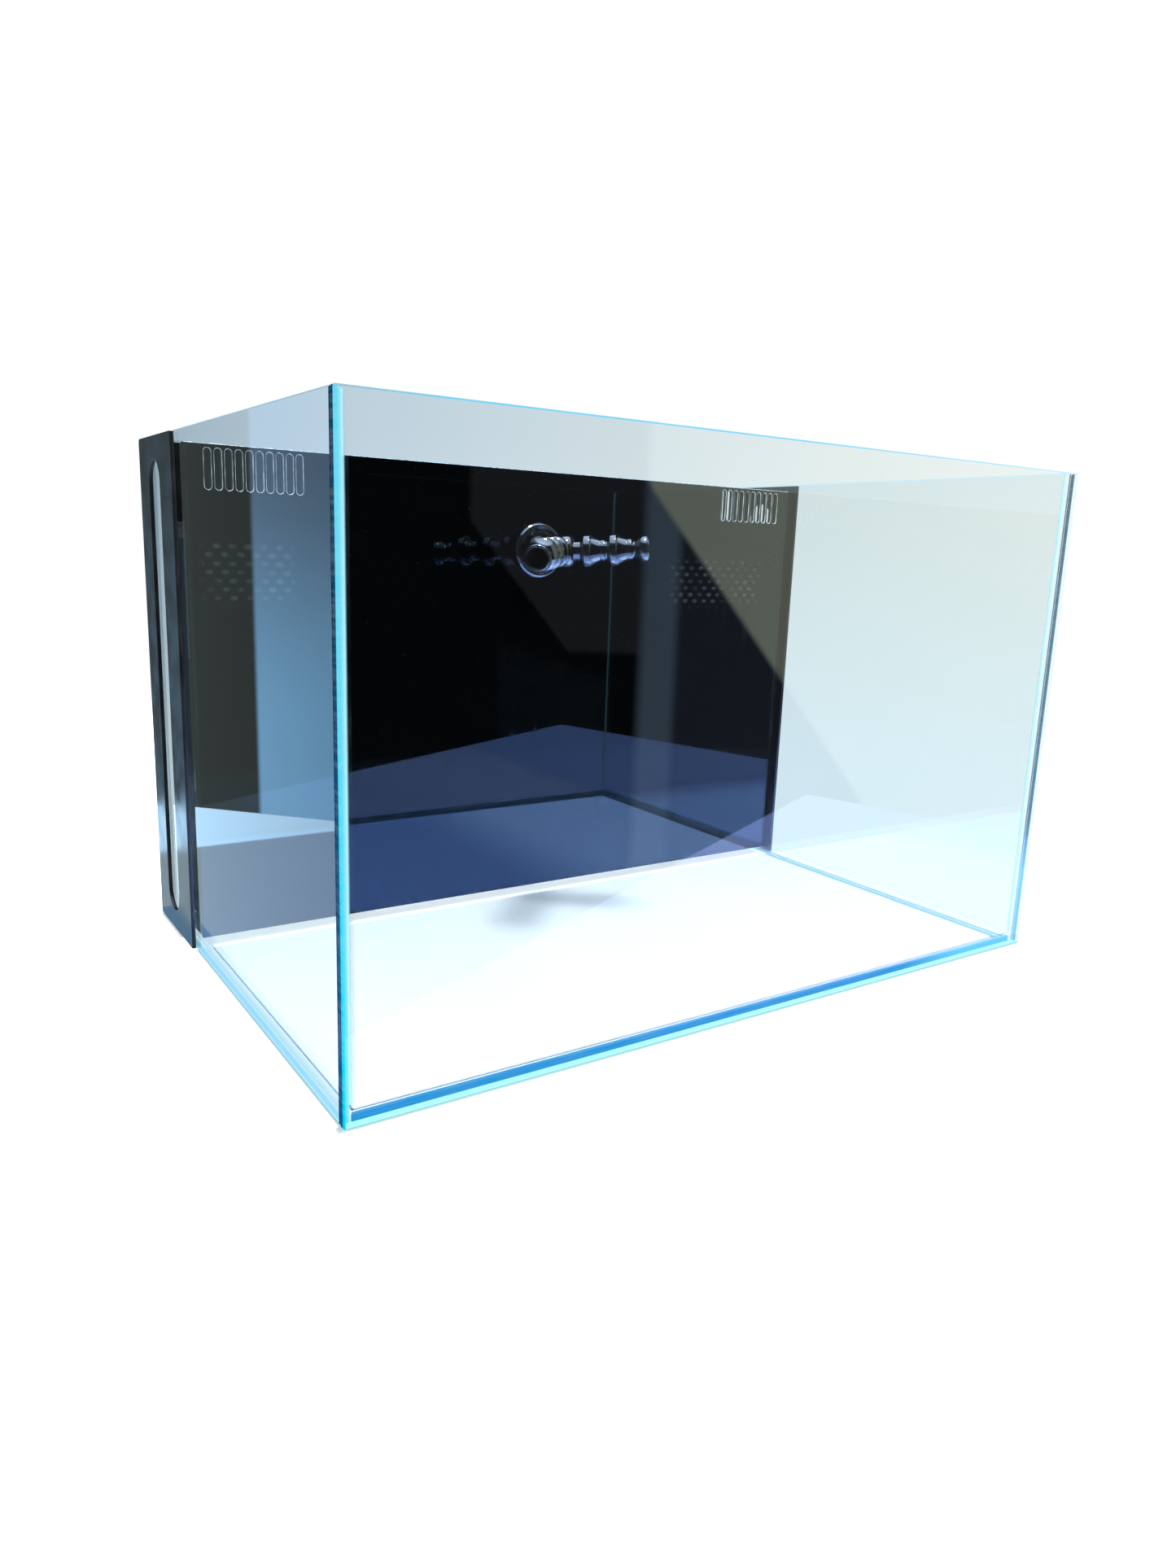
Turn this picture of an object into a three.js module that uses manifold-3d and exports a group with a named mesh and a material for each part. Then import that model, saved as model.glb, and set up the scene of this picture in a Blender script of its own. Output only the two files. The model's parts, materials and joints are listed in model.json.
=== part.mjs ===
// Rimless glass aquarium with a black rear filter section and a forked, ball-jointed return.
// Millimetres. +X is to the right, +Y to the back, +Z up; the origin is the centre of the footprint.

import * as THREE from 'three';
import { mergeVertices } from 'three/addons/utils/BufferGeometryUtils.js';
import Module from 'manifold-3d';

// ---- driving dimensions ----

const WIDTH = 600;            // outside of the glass, left to right
const DEPTH = 405;            // front pane to the back of the rear cover
const HEIGHT = 384;           // floor to rim
const GLASS = 6;              // pane thickness
const GAP = 0.3;              // joint clearance between neighbouring pieces
const COVER = 3;              // black cover sheets round the filter section
const COVER_EDGE = 1;         // the covers stop this far short of the rim and of the floor
const COVER_DEPTH = 99;       // front edge of a side cover to its back edge
const COVER_ROUND = 3;        // rounding of a side cover's rear corners
const REAR_INSET = 14;        // strip of clear glass left at each end of the rear cover
const WINDOW_WIDTH = 33;      // long sight window in each side cover
const WINDOW_LOW = 17;
const WINDOW_HIGH = 366;
const WINDOW_SETBACK = 52.5;  // from a side cover's front edge to the middle of its window
const BEAD = 3;               // leg of a silicone fillet
const RIM_CLEAR = 1;          // the fillets stop this far below the rim

const BAFFLE_SETBACK = 311;   // front pane's face to the baffle's face
const BAFFLE = 4;             // thickness of the baffle and the two dividers
const BAFFLE_TOP = 377;
const COMB_SLOTS = 10;        // slots in each overflow comb
const COMB_PITCH = 7.5;
const COMB_SLOT = 5;          // width of one slot
const COMB_LOW = 345;
const COMB_HIGH = 374;
const COMB_CENTRE = 243;      // middle of the tank to the middle of a comb
const DIVIDER_CENTRE = 148;   // middle of the tank to the middle of a divider
const DIVIDER_LOW = 46;       // water passes to the pump under the dividers
const DIVIDER_TOP = 365;

const RETURN_HEIGHT = 310.5;  // centre of the return fitting above the floor
const SIDES = 16;             // sides of a turned piece
const FLANGE_RADIUS = 23.3;
const FLANGE_FRONT = 6.5;     // flange face ahead of the baffle
const GASKET = 1.5;
const SHANK_RADIUS = 12.2;
const SHANK_BORE = 9.4;
const SHANK_BACK = -24;       // end of the shank behind the baffle's face
const NUT_RADIUS = 19;
const NUT_LENGTH = 9;

const BALL = 10;              // ball radius of the jointed hose
const SOCKET = 10.6;
const CUP = 13.2;             // outside of a socket
const NECK = 7.9;             // outside of the pipe behind each ball
const COLLAR = 8.9;           // raised ring at the end of each taper
const BORE = 5.6;             // waterway
const LIP = 3.6;              // the socket reaches this far past the ball's middle
const BALL_CUT = 6;           // flat end of a ball, from its middle
const PITCH = 22.4;           // one ball's middle to the next
const BAND_END = 2;           // end of a cup's straight band, from the socket's middle
const TAPER_END = 11.2;       // end of the taper, start of the collar
const COLLAR_END = 14.4;
const FIRST_BALL = 19;        // adapter ball's middle, ahead of the baffle
const FORK = 35;              // where the two branches meet, ahead of the baffle
const BRANCH = 25.2;          // fork to the ball on a branch
const BRANCH_ANGLE = 50;
const SHOULDER = 7.5;         // a branch is as thick as a cup up to here, then rounds in to its neck
const NOZZLE_LENGTH = 28.6;   // last socket's middle to the mouth of the nozzle
const WAIST = 6.7;
const FLARE = 10.7;
const MOUTH = 9.8;
const MOUTH_BORE = 8.4;

// How the joints stand, bent by hand, in degrees: the fork's tilt and roll, then each ball's tilt and swing.
const FORK_STAND = [0.8, 4.75];
const STAND = {
  left: { link: [2.1, -5.8], nozzle: [-4.5, -3.5] },
  right: { link: [0.6, -0.8], nozzle: [1.1, 0.9] },
};

const PIPE_Y = 153;           // hose and pump outlet, middle of the rear chamber
const PIPE = 8.8;             // outside of the elbow and of the pump outlet
const PIPE_BORE = 6;
const BARB = 9.15;
const ELBOW_BEND = 16;
const ELBOW_LOW = 260;
const HOSE_LOW = 100;
const HOSE_HIGH = 284;
const HOSE_INNER = 9.5;
const HOSE_OUTER = 11.8;
const CLAMP_INNER = 12.1;
const CLAMP_OUTER = 13.2;
const CLAMP_WIDTH = 8;
const CLAMP_INSET = 12;       // hose end to the middle of its clamp
const SCREW_BOX = 6;          // height of a clamp's screw box; it is twice as long
const STOP = 3;               // width of the collar that a hose end stops against
const BARB_PITCH = 6;
const BARB_LENGTH = 3;

const PUMP_Z = 40;            // rotor axis, along X
const HEAD_RADIUS = 22;
const HEAD_HALF = 13;         // half the pump head's length
const VOLUTE = 17;            // radius of the impeller's chamber
const MOTOR_BACK = -74;
const MOTOR_HALF = 24;        // half the motor housing's depth
const MOTOR_LOW = 15;
const MOTOR_HIGH = 66;
const WELL = 7.6;             // rotor well
const ROTOR = 6.8;
const SHAFT = 1.5;
const OUTLET_REACH = 24;      // the outlet reaches this far into the hose
const CASING_ROUND = 8;       // rounding of the motor housing's long edges
const WELL_WALL = 8;          // wall behind the rotor well
const STRAINER_END = 38;
const STRAINER = 19.6;
const STRAINER_WALL = 2;
const STRAINER_PLATE = 2.6;
const SPIGOT = 6.4;           // bearing seat on the strainer, and its bore
const SPIGOT_BORE = 4.4;
const INLET = 3.4;            // inlets through the strainer's plate, on a circle
const INLET_CIRCLE = 11;
const CAGE_SLOT = 6;          // width of the slots round the strainer
const RING_SLOT = 8;          // width of the slots in the flow ring
const RING_INNER = 20.6;
const RING_OUTER = 22.4;
const HUB = 4.6;              // impeller's hub, and the reach, depth and thickness of its vanes
const VANE_REACH = 14;
const VANE_LOW = -6;
const VANE_HIGH = 5;
const VANE = 1.8;
const SUCTION = 9;
const SUCTION_STEM = 4.2;
const FEET_X = { outer: -62, inner: -26 };
const FEET_Y = { front: -14, rear: 14 };
const CORD = 2.2;             // hole for the cord in its gland
const GLAND = 6.5;
const GLAND_LENGTH = 18;
const GLAND_RISE = 12;        // gland above the rotor axis

const BASKET_X = 222;         // middle of the tank to the middle of a media basket
const BASKET_WIDTH = 130;
const BASKET_DEPTH = 72;
const BASKET_LOW = 6.6;
const BASKET_TOP = 322;
const BASKET_WALL = 2.5;
const BASKET_FEET = 6;
const BASKET_FOOT = 12;       // side of a foot
const BASKET_SLOT = 8;        // width of the water slots, and their two rows
const SLOT_HEIGHT = 88;
const SLOT_ROWS = [28, 132];
const SLOTS_WIDE = [-40, -20, 0, 20, 40];
const SLOTS_DEEP = [-12, 12];
const HAND_HOLD = 28;         // width of the hold in each end, near the top
const MEDIA_TOP = 240;        // ceramic media, then a coarse sponge, then a floss pad
const SPONGE_TOP = 290;
const FLOSS_TOP = 306;

// ---- derived places ----

const FRONT = -DEPTH / 2;
const BACK = DEPTH / 2;
const INSIDE = WIDTH / 2 - GLASS;                // inner face of a side pane
const FRONT_IN = FRONT + GLASS;                  // inner face of the front pane
const REAR_OUT = BACK - COVER - GAP;             // outer face of the rear pane
const REAR_IN = REAR_OUT - GLASS;
const BAFFLE_FACE = FRONT + BAFFLE_SETBACK;
const BAFFLE_BACK = BAFFLE_FACE + BAFFLE;
const FLOOR = GLASS + GAP;                       // just above the base pane

const rad = THREE.MathUtils.degToRad;
const object = new THREE.Group();

// ---- materials ----

function material(color, roughness, metalness = 0, opacity = 1) {
  return new THREE.MeshStandardMaterial({ color, roughness, metalness, opacity, transparent: opacity < 1 });
}

const CLEAR_GLASS = material(0xcdf3f5, 0.03, 0, 0.3);
const SILICONE = material(0xdfeef0, 0.35, 0, 0.6);
const ACRYLIC = material(0x15171b, 0.08);
const COVER_SHEET = material(0x26282d, 0.3);
const BLACK_PLASTIC = material(0x16181c, 0.22);
const PUMP_PLASTIC = material(0x1d1f22, 0.5);
const BLACK_RUBBER = material(0x1b1b1c, 0.75);
const HOSE_RUBBER = material(0x2b2d31, 0.45);
const STEEL = material(0xb9bdc2, 0.3, 1);
const MAGNET = material(0x4b4743, 0.55, 0.3);
const CERAMIC_ROD = material(0xf2efe8, 0.25);
const CERAMIC_MEDIA = material(0xd8cdb9, 0.95);
const COARSE_FOAM = material(0x23292f, 0.98);
const FLOSS = material(0xf1f3f2, 0.98);

// ---- solids ----

const wasm = await Module();
wasm.setup();

function toSolid(geometry) {
  const plain = geometry.clone();
  plain.deleteAttribute('normal');
  plain.deleteAttribute('uv');
  const merged = mergeVertices(plain, 1e-4);
  const mesh = new wasm.Mesh({
    numProp: 3,
    vertProperties: new Float32Array(merged.attributes.position.array),
    triVerts: new Uint32Array(merged.index.array),
  });
  return new wasm.Manifold(mesh);
}

function toGeometry(solid) {
  const { vertProperties, triVerts } = solid.getMesh();
  const geometry = new THREE.BufferGeometry();
  geometry.setAttribute('position', new THREE.Float32BufferAttribute(vertProperties, 3));
  geometry.setIndex(new THREE.Uint32BufferAttribute(triVerts, 1));
  geometry.computeVertexNormals();
  return geometry;
}

function join(...pieces) {
  return toGeometry(pieces.map(toSolid).reduce((whole, piece) => whole.add(piece)));
}

function cut(body, ...tools) {
  return toGeometry(tools.map(toSolid).reduce((whole, tool) => whole.subtract(tool), toSolid(body)));
}

function block(x0, x1, y0, y1, z0, z1) {
  return new THREE.BoxGeometry(x1 - x0, y1 - y0, z1 - z0)
    .translate((x0 + x1) / 2, (y0 + y1) / 2, (z0 + z1) / 2);
}

// A profile of [radius, height] pairs, counter-clockwise, turned about the local Y axis.
function turned(profile, sides = SIDES) {
  const points = profile.map(([radius, height]) => new THREE.Vector2(radius, height));
  return new THREE.LatheGeometry(points, sides);
}

// The same for a ring or a tube, whose profile closes on itself.
function ring(profile, sides = SIDES) {
  return turned([...profile, profile[0]], sides);
}

function tube(inner, outer, low, high, sides = SIDES) {
  return ring([[inner, low], [outer, low], [outer, high], [inner, high]], sides);
}

function rod(radius, low, high, sides = SIDES) {
  return turned([[0, low], [radius, low], [radius, high], [0, high]], sides);
}

const alongX = (geometry) => geometry.rotateZ(-Math.PI / 2);
const alongZ = (geometry) => geometry.rotateX(Math.PI / 2);

// Points of an arc about (0, middle), as [radius, height], from one height to another.
function arcProfile(radius, middle, from, to, steps) {
  const start = Math.asin((from - middle) / radius);
  const end = Math.asin((to - middle) / radius);
  return Array.from({ length: steps + 1 }, (_, i) => {
    const angle = THREE.MathUtils.lerp(start, end, i / steps);
    return [radius * Math.cos(angle), middle + radius * Math.sin(angle)];
  });
}

function add(name, geometry, look, parent = object) {
  const mesh = new THREE.Mesh(geometry, look);
  mesh.name = name;
  parent.add(mesh);
  return mesh;
}

function addGroup(parent, position, rotation = [0, 0, 0]) {
  const group = new THREE.Group();
  group.position.set(...position);
  group.rotation.set(...rotation.map(rad));
  parent.add(group);
  return group;
}

// ---- glass ----

function addGlass() {
  const half = WIDTH / 2;
  add('front_pane', block(-half, half, FRONT, FRONT_IN, 0, HEIGHT), CLEAR_GLASS);
  add('rear_pane', block(-half, half, REAR_IN, REAR_OUT, 0, HEIGHT), CLEAR_GLASS);
  add('left_pane', block(-half, -INSIDE, FRONT_IN + GAP, REAR_IN - GAP, 0, HEIGHT), CLEAR_GLASS);
  add('right_pane', block(INSIDE, half, FRONT_IN + GAP, REAR_IN - GAP, 0, HEIGHT), CLEAR_GLASS);
  const base = block(-INSIDE + GAP, INSIDE - GAP, FRONT_IN + GAP, REAR_IN - GAP, 0, GLASS);
  add('base_pane', base, CLEAR_GLASS);
}

// ---- silicone fillets ----

// A hollow-faced fillet in a vertical corner at (x, y); toX and toY point into the tank.
function cornerFillet(x, y, toX, toY, low) {
  const shape = new THREE.Shape();
  shape.moveTo(0, 0);
  shape.lineTo(BEAD, 0);
  shape.absarc(BEAD, BEAD, BEAD * 0.999, -Math.PI / 2, -Math.PI, true);
  shape.closePath();
  const height = HEIGHT - RIM_CLEAR - low;
  const fillet = new THREE.ExtrudeGeometry(shape, { depth: height, bevelEnabled: false, curveSegments: 3 });
  const turn = Math.atan2(toY, toX) - Math.PI / 4;
  return fillet.rotateZ(turn).translate(x + GAP * toX, y + GAP * toY, low);
}

// A fillet along the foot of four walls: one triangular section, mitred at the corners.
function footFillet(x0, x1, y0, y1, z) {
  const outline = (inset, height) => [
    [x0 + inset, y0 + inset, height], [x1 - inset, y0 + inset, height],
    [x1 - inset, y1 - inset, height], [x0 + inset, y1 - inset, height],
  ];
  const corners = [...outline(0, z), ...outline(BEAD, z), ...outline(0, z + BEAD)];
  const index = [];
  for (let i = 0; i < 4; i += 1) {
    const j = (i + 1) % 4;
    for (const [a, b] of [[0, 4], [4, 8], [8, 0]]) {
      index.push(a + i, b + j, a + j, a + i, b + i, b + j);
    }
  }
  const geometry = new THREE.BufferGeometry();
  geometry.setAttribute('position', new THREE.Float32BufferAttribute(corners.flat(), 3));
  geometry.setIndex(index);
  geometry.computeVertexNormals();
  return geometry;
}

function addSealant() {
  const overFoot = FLOOR + BEAD + GAP;
  for (const [side, sign] of [['left', -1], ['right', 1]]) {
    const x = sign * INSIDE;
    add(`front_${side}_bead`, cornerFillet(x, FRONT_IN, -sign, 1, overFoot), SILICONE);
    add(`rear_${side}_bead`, cornerFillet(x, REAR_IN, -sign, -1, FLOOR), SILICONE);
    add(`baffle_${side}_bead`, cornerFillet(x, BAFFLE_FACE, -sign, -1, overFoot), SILICONE);
  }
  const wide = INSIDE - GAP;
  add('display_foot_bead', footFillet(-wide, wide, FRONT_IN + GAP, BAFFLE_FACE - GAP, FLOOR), SILICONE);
}

// ---- covers round the filter section ----

// Outline of a side cover in (depth, height), with its rear corners rounded.
function sideCoverShape() {
  const high = HEIGHT - COVER_EDGE;
  const shape = new THREE.Shape();
  shape.moveTo(0, high);
  shape.lineTo(0, COVER_EDGE);
  shape.absarc(COVER_DEPTH - COVER_ROUND, COVER_EDGE + COVER_ROUND, COVER_ROUND, -Math.PI / 2, 0);
  shape.absarc(COVER_DEPTH - COVER_ROUND, high - COVER_ROUND, COVER_ROUND, 0, Math.PI / 2);
  shape.closePath();
  const radius = WINDOW_WIDTH / 2;
  const window = new THREE.Path();
  window.absarc(WINDOW_SETBACK, WINDOW_HIGH - radius, radius, 0, Math.PI);
  window.absarc(WINDOW_SETBACK, WINDOW_LOW + radius, radius, Math.PI, 2 * Math.PI);
  window.closePath();
  shape.holes.push(window);
  return shape;
}

function addCovers() {
  const outer = WIDTH / 2 + GAP + COVER;
  for (const [side, start] of [['left', -outer], ['right', outer - COVER]]) {
    const sheet = new THREE.ExtrudeGeometry(sideCoverShape(),
      { depth: COVER, bevelEnabled: false, curveSegments: 6 });
    sheet.rotateX(Math.PI / 2).rotateZ(Math.PI / 2).translate(start, BACK - COVER_DEPTH, 0);
    add(`${side}_side_cover`, sheet, COVER_SHEET);
  }
  const half = WIDTH / 2 - REAR_INSET;
  add('rear_cover', block(-half, half, BACK - COVER, BACK, COVER_EDGE, HEIGHT - COVER_EDGE), COVER_SHEET);
}

// ---- baffle and dividers ----

function baffleShape() {
  const half = INSIDE - GAP;
  const shape = new THREE.Shape();
  shape.moveTo(-half, FLOOR);
  shape.lineTo(half, FLOOR);
  shape.lineTo(half, BAFFLE_TOP);
  shape.lineTo(-half, BAFFLE_TOP);
  shape.closePath();
  const radius = COMB_SLOT / 2;
  for (const side of [-1, 1]) {
    for (let i = 0; i < COMB_SLOTS; i += 1) {
      const x = side * COMB_CENTRE + (i - (COMB_SLOTS - 1) / 2) * COMB_PITCH;
      const slot = new THREE.Path();
      slot.absarc(x, COMB_HIGH - radius, radius, 0, Math.PI);
      slot.absarc(x, COMB_LOW + radius, radius, Math.PI, 2 * Math.PI);
      slot.closePath();
      shape.holes.push(slot);
    }
  }
  const hole = new THREE.Path();
  for (const quarter of [0, 1, 2, 3]) {
    const start = quarter * Math.PI / 2;
    hole.absarc(0, RETURN_HEIGHT, SHANK_RADIUS + 2 * GAP, start, start + Math.PI / 2);
  }
  shape.holes.push(hole);
  return shape;
}

function addFilterWalls() {
  const wall = new THREE.ExtrudeGeometry(baffleShape(),
    { depth: BAFFLE, bevelEnabled: false, curveSegments: 2 });
  add('baffle_wall', wall.rotateX(Math.PI / 2).translate(0, BAFFLE_BACK, 0), ACRYLIC);
  for (const [side, sign] of [['left', -1], ['right', 1]]) {
    const x = sign * DIVIDER_CENTRE;
    add(`${side}_divider`,
      block(x - BAFFLE / 2, x + BAFFLE / 2, BAFFLE_BACK + GAP, REAR_IN - GAP, DIVIDER_LOW, DIVIDER_TOP),
      ACRYLIC);
  }
}

// ---- return fitting: local +Y points out of the baffle, into the display ----

function bulkhead() {
  const rim = FLANGE_RADIUS - 3.5;
  const dish = FLANGE_FRONT - 1.8;
  const boss = SHANK_BORE + 2.4;
  const flangeBack = GASKET + 2 * GAP;
  return ring([
    [SHANK_BORE, SHANK_BACK], [SHANK_RADIUS, SHANK_BACK], [SHANK_RADIUS, flangeBack],
    [FLANGE_RADIUS, flangeBack], [FLANGE_RADIUS, FLANGE_FRONT - 1.5], [FLANGE_RADIUS - 1.2, FLANGE_FRONT],
    [rim, FLANGE_FRONT], [rim - 1, dish], [boss, dish], [boss - 0.8, FLANGE_FRONT],
    [SHANK_BORE, FLANGE_FRONT],
  ], 24);
}

function bulkheadNut() {
  const face = -BAFFLE - GAP;
  const outside = rod(NUT_RADIUS, face - NUT_LENGTH, face, 8);
  return cut(outside, rod(SHANK_RADIUS + GAP, face - NUT_LENGTH - 1, face + 1, 24));
}

function ballProfile(middle) {
  const neck = middle - Math.sqrt(BALL ** 2 - NECK ** 2);
  return arcProfile(BALL, middle, neck, middle + BALL_CUT, 5);
}

function socketProfile() {
  return arcProfile(SOCKET, 0, Math.sqrt(SOCKET ** 2 - BORE ** 2), -LIP, 5);
}

function ballAdapter() {
  const collar = FLANGE_FRONT + GAP;
  return ring([
    [BORE, -6], [SHANK_BORE - GAP, -6], [SHANK_BORE - GAP, collar], [SHANK_BORE + 1.4, collar],
    [SHANK_BORE + 1.4, collar + 2.6], [NECK, collar + 3.4],
    ...ballProfile(FIRST_BALL), [BORE, FIRST_BALL + BALL_CUT],
  ]);
}

// Outside of a socket, from its lip along the taper to the end of its collar.
const CUP_PROFILE = [[CUP, -LIP], [CUP, BAND_END], [COLLAR + 0.4, TAPER_END], [COLLAR, COLLAR_END]];

// One link of the jointed hose: a socket round the last ball, a taper, a neck and the next ball.
function link() {
  return ring([
    ...CUP_PROFILE, [NECK, COLLAR_END + 0.6], ...ballProfile(PITCH), [BORE, PITCH + BALL_CUT],
    ...socketProfile(),
  ]);
}

// The last link: behind its collar it narrows to a waist and flares out to a round mouth.
function nozzle() {
  const waist = COLLAR_END + 1.9;
  return ring([
    ...CUP_PROFILE, [WAIST, waist], [WAIST + 1.5, waist + 3.2], [FLARE - 0.7, NOZZLE_LENGTH - 6.6],
    [FLARE, NOZZLE_LENGTH - 3.6], [FLARE - 0.2, NOZZLE_LENGTH - 1.1], [MOUTH, NOZZLE_LENGTH],
    [MOUTH_BORE, NOZZLE_LENGTH], [BORE, waist + 3.2], ...socketProfile(),
  ]);
}

// The fork, about its own socket: a thick cup, and on each side a thick branch that narrows to a balled neck.
function fork() {
  const meet = FORK - FIRST_BALL;
  const hub = rod(CUP, -LIP, meet);
  const knuckle = turned(arcProfile(CUP, 0, -CUP, CUP, 8)).translate(0, meet, 0);
  const pipe = turned([
    [0, 0], [CUP, 0], [CUP, SHOULDER], [CUP - 0.8, SHOULDER + 2.5], [CUP - 2.6, SHOULDER + 4.8],
    [NECK + 0.7, SHOULDER + 6.1], [NECK, SHOULDER + 6.4], ...ballProfile(BRANCH), [0, BRANCH + BALL_CUT],
  ]);
  const bore = rod(BORE, 0, BRANCH + BALL_CUT + 2, 12);
  const turn = rad(BRANCH_ANGLE);
  const place = (geometry, side) => geometry.clone().rotateZ(-side * turn).translate(0, meet, 0);
  const socket = turned([[0, -LIP - 2], ...socketProfile().reverse(), [0, meet]]);
  return cut(join(hub, knuckle, place(pipe, -1), place(pipe, 1)), socket, place(bore, -1), place(bore, 1));
}

function addReturn() {
  const root = addGroup(object, [0, BAFFLE_FACE, RETURN_HEIGHT], [180, 0, 0]);
  const gasket = tube(SHANK_RADIUS + GAP, FLANGE_RADIUS - 3, GAP, GAP + GASKET, 24);
  add('bulkhead_body', bulkhead(), BLACK_PLASTIC, root);
  add('bulkhead_gasket', gasket, BLACK_RUBBER, root);
  add('bulkhead_nut', bulkheadNut(), BLACK_PLASTIC, root);
  add('ball_adapter', ballAdapter(), BLACK_PLASTIC, root);
  const forked = addGroup(root, [0, FIRST_BALL, 0], [...FORK_STAND, 0]);
  add('y_splitter', fork(), BLACK_PLASTIC, forked);
  const angle = rad(BRANCH_ANGLE);
  for (const [side, sign] of [['left', -1], ['right', 1]]) {
    const ball = [sign * BRANCH * Math.sin(angle), FORK - FIRST_BALL + BRANCH * Math.cos(angle), 0];
    const branch = addGroup(forked, ball, [0, 0, -sign * BRANCH_ANGLE]);
    const stood = (parent, at, [tilt, swing]) => addGroup(parent, at, [-tilt, 0, swing]);
    const first = stood(branch, [0, 0, 0], STAND[side].link);
    add(`${side}_link`, link(), BLACK_PLASTIC, first);
    add(`${side}_nozzle`, nozzle(), BLACK_PLASTIC, stood(first, [0, PITCH, 0], STAND[side].nozzle));
  }
}

// ---- elbow, hose and clamps behind the baffle ----

function bentRod(radius, path) {
  const outline = new THREE.Shape();
  outline.absarc(0, 0, radius, 0, 2 * Math.PI);
  return new THREE.ExtrudeGeometry(outline,
    { steps: 10, bevelEnabled: false, extrudePath: path, curveSegments: 6 });
}

// From the back of the bulkhead, along +Y, then down; it runs past both ends by the given overrun.
function elbowPath(overrun) {
  const start = BAFFLE_FACE - SHANK_BACK - 16 - overrun;
  const bendY = PIPE_Y - ELBOW_BEND;
  const bendZ = RETURN_HEIGHT - ELBOW_BEND;
  const path = new THREE.CurvePath();
  const point = (y, z) => new THREE.Vector3(0, y, z);
  const corner = point(PIPE_Y, RETURN_HEIGHT);
  path.add(new THREE.LineCurve3(point(start, RETURN_HEIGHT), point(bendY, RETURN_HEIGHT)));
  path.add(new THREE.QuadraticBezierCurve3(point(bendY, RETURN_HEIGHT), corner, point(PIPE_Y, bendZ)));
  path.add(new THREE.LineCurve3(point(PIPE_Y, bendZ), point(PIPE_Y, ELBOW_LOW - overrun)));
  return path;
}

function barbs(low) {
  const starts = [0, 1, 2].map((i) => low + i * BARB_PITCH);
  const rings = starts.map((start) => turned([
    [0, start], [PIPE - 0.2, start], [BARB, start + BARB_LENGTH], [0, start + BARB_LENGTH],
  ]));
  return rings.map((barb) => alongZ(barb).translate(0, PIPE_Y, 0));
}

function clampBand(z) {
  const band = alongZ(tube(CLAMP_INNER, CLAMP_OUTER, -CLAMP_WIDTH / 2, CLAMP_WIDTH / 2, 24));
  const half = SCREW_BOX / 2;
  const screwBox = block(-SCREW_BOX, SCREW_BOX, -CLAMP_OUTER - 4, -CLAMP_OUTER + 0.6, -half, half);
  return join(band, screwBox).translate(0, PIPE_Y, z);
}

function addHose() {
  const collar = alongZ(rod(HOSE_OUTER, HOSE_HIGH + GAP, HOSE_HIGH + STOP)).translate(0, PIPE_Y, 0);
  const outside = join(bentRod(PIPE, elbowPath(0)), collar, ...barbs(ELBOW_LOW + 1));
  add('return_elbow', cut(outside, bentRod(PIPE_BORE, elbowPath(1))), BLACK_PLASTIC);
  const hose = alongZ(tube(HOSE_INNER, HOSE_OUTER, HOSE_LOW, HOSE_HIGH));
  add('return_hose', hose.translate(0, PIPE_Y, 0), HOSE_RUBBER);
  add('upper_hose_clamp', clampBand(HOSE_HIGH - CLAMP_INSET), STEEL);
  add('lower_hose_clamp', clampBand(HOSE_LOW + CLAMP_INSET), STEEL);
}

// ---- return pump: rotor axis along X, outlet upwards ----

function pumpHead() {
  const shell = alongX(rod(HEAD_RADIUS, -HEAD_HALF, HEAD_HALF, 24)).translate(0, 0, PUMP_Z);
  const outlet = alongZ(rod(PIPE, PUMP_Z, HOSE_LOW + OUTLET_REACH));
  const collar = alongZ(rod(HOSE_OUTER, HOSE_LOW - STOP - GAP, HOSE_LOW - GAP));
  const chamber = alongX(rod(VOLUTE, STOP - HEAD_HALF, HEAD_HALF + 1, 24)).translate(0, 0, PUMP_Z);
  const neck = alongX(rod(WELL, -HEAD_HALF - 1, 0)).translate(0, 0, PUMP_Z);
  const waterway = alongZ(rod(PIPE_BORE, PUMP_Z, HOSE_LOW + OUTLET_REACH + 1, 12));
  const body = join(shell, outlet, collar).translate(0, PIPE_Y, 0);
  return cut(join(body, ...barbs(HOSE_LOW + 4)),
    ...[chamber, neck, waterway].map((tool) => tool.translate(0, PIPE_Y, 0)));
}

function motorHousing() {
  const half = MOTOR_HALF;
  const round = CASING_ROUND;
  const outline = new THREE.Shape();
  const height = MOTOR_HIGH - MOTOR_LOW;
  outline.absarc(half - round, round, round, -Math.PI / 2, 0);
  outline.absarc(half - round, height - round, round, 0, Math.PI / 2);
  outline.absarc(round - half, height - round, round, Math.PI / 2, Math.PI);
  outline.absarc(round - half, round, round, Math.PI, 1.5 * Math.PI);
  outline.closePath();
  const front = -HEAD_HALF - GAP;
  const casing = new THREE.ExtrudeGeometry(outline,
    { depth: front - MOTOR_BACK, bevelEnabled: false, curveSegments: 3 });
  casing.rotateX(Math.PI / 2).rotateZ(Math.PI / 2).translate(MOTOR_BACK, PIPE_Y, MOTOR_LOW);
  const well = alongX(rod(WELL, MOTOR_BACK + WELL_WALL, front + 1)).translate(0, PIPE_Y, PUMP_Z);
  return cut(casing, well);
}

// Four slots across the axis, an eighth of a turn apart, cut through both walls of a drum.
function drumSlots(low, high, width) {
  const past = HEAD_RADIUS + 8;
  return [0, 1, 2, 3].map((i) => block(low, high, -past, past, -width / 2, width / 2)
    .rotateX(i * Math.PI / 4 + Math.PI / 8));
}

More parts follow.
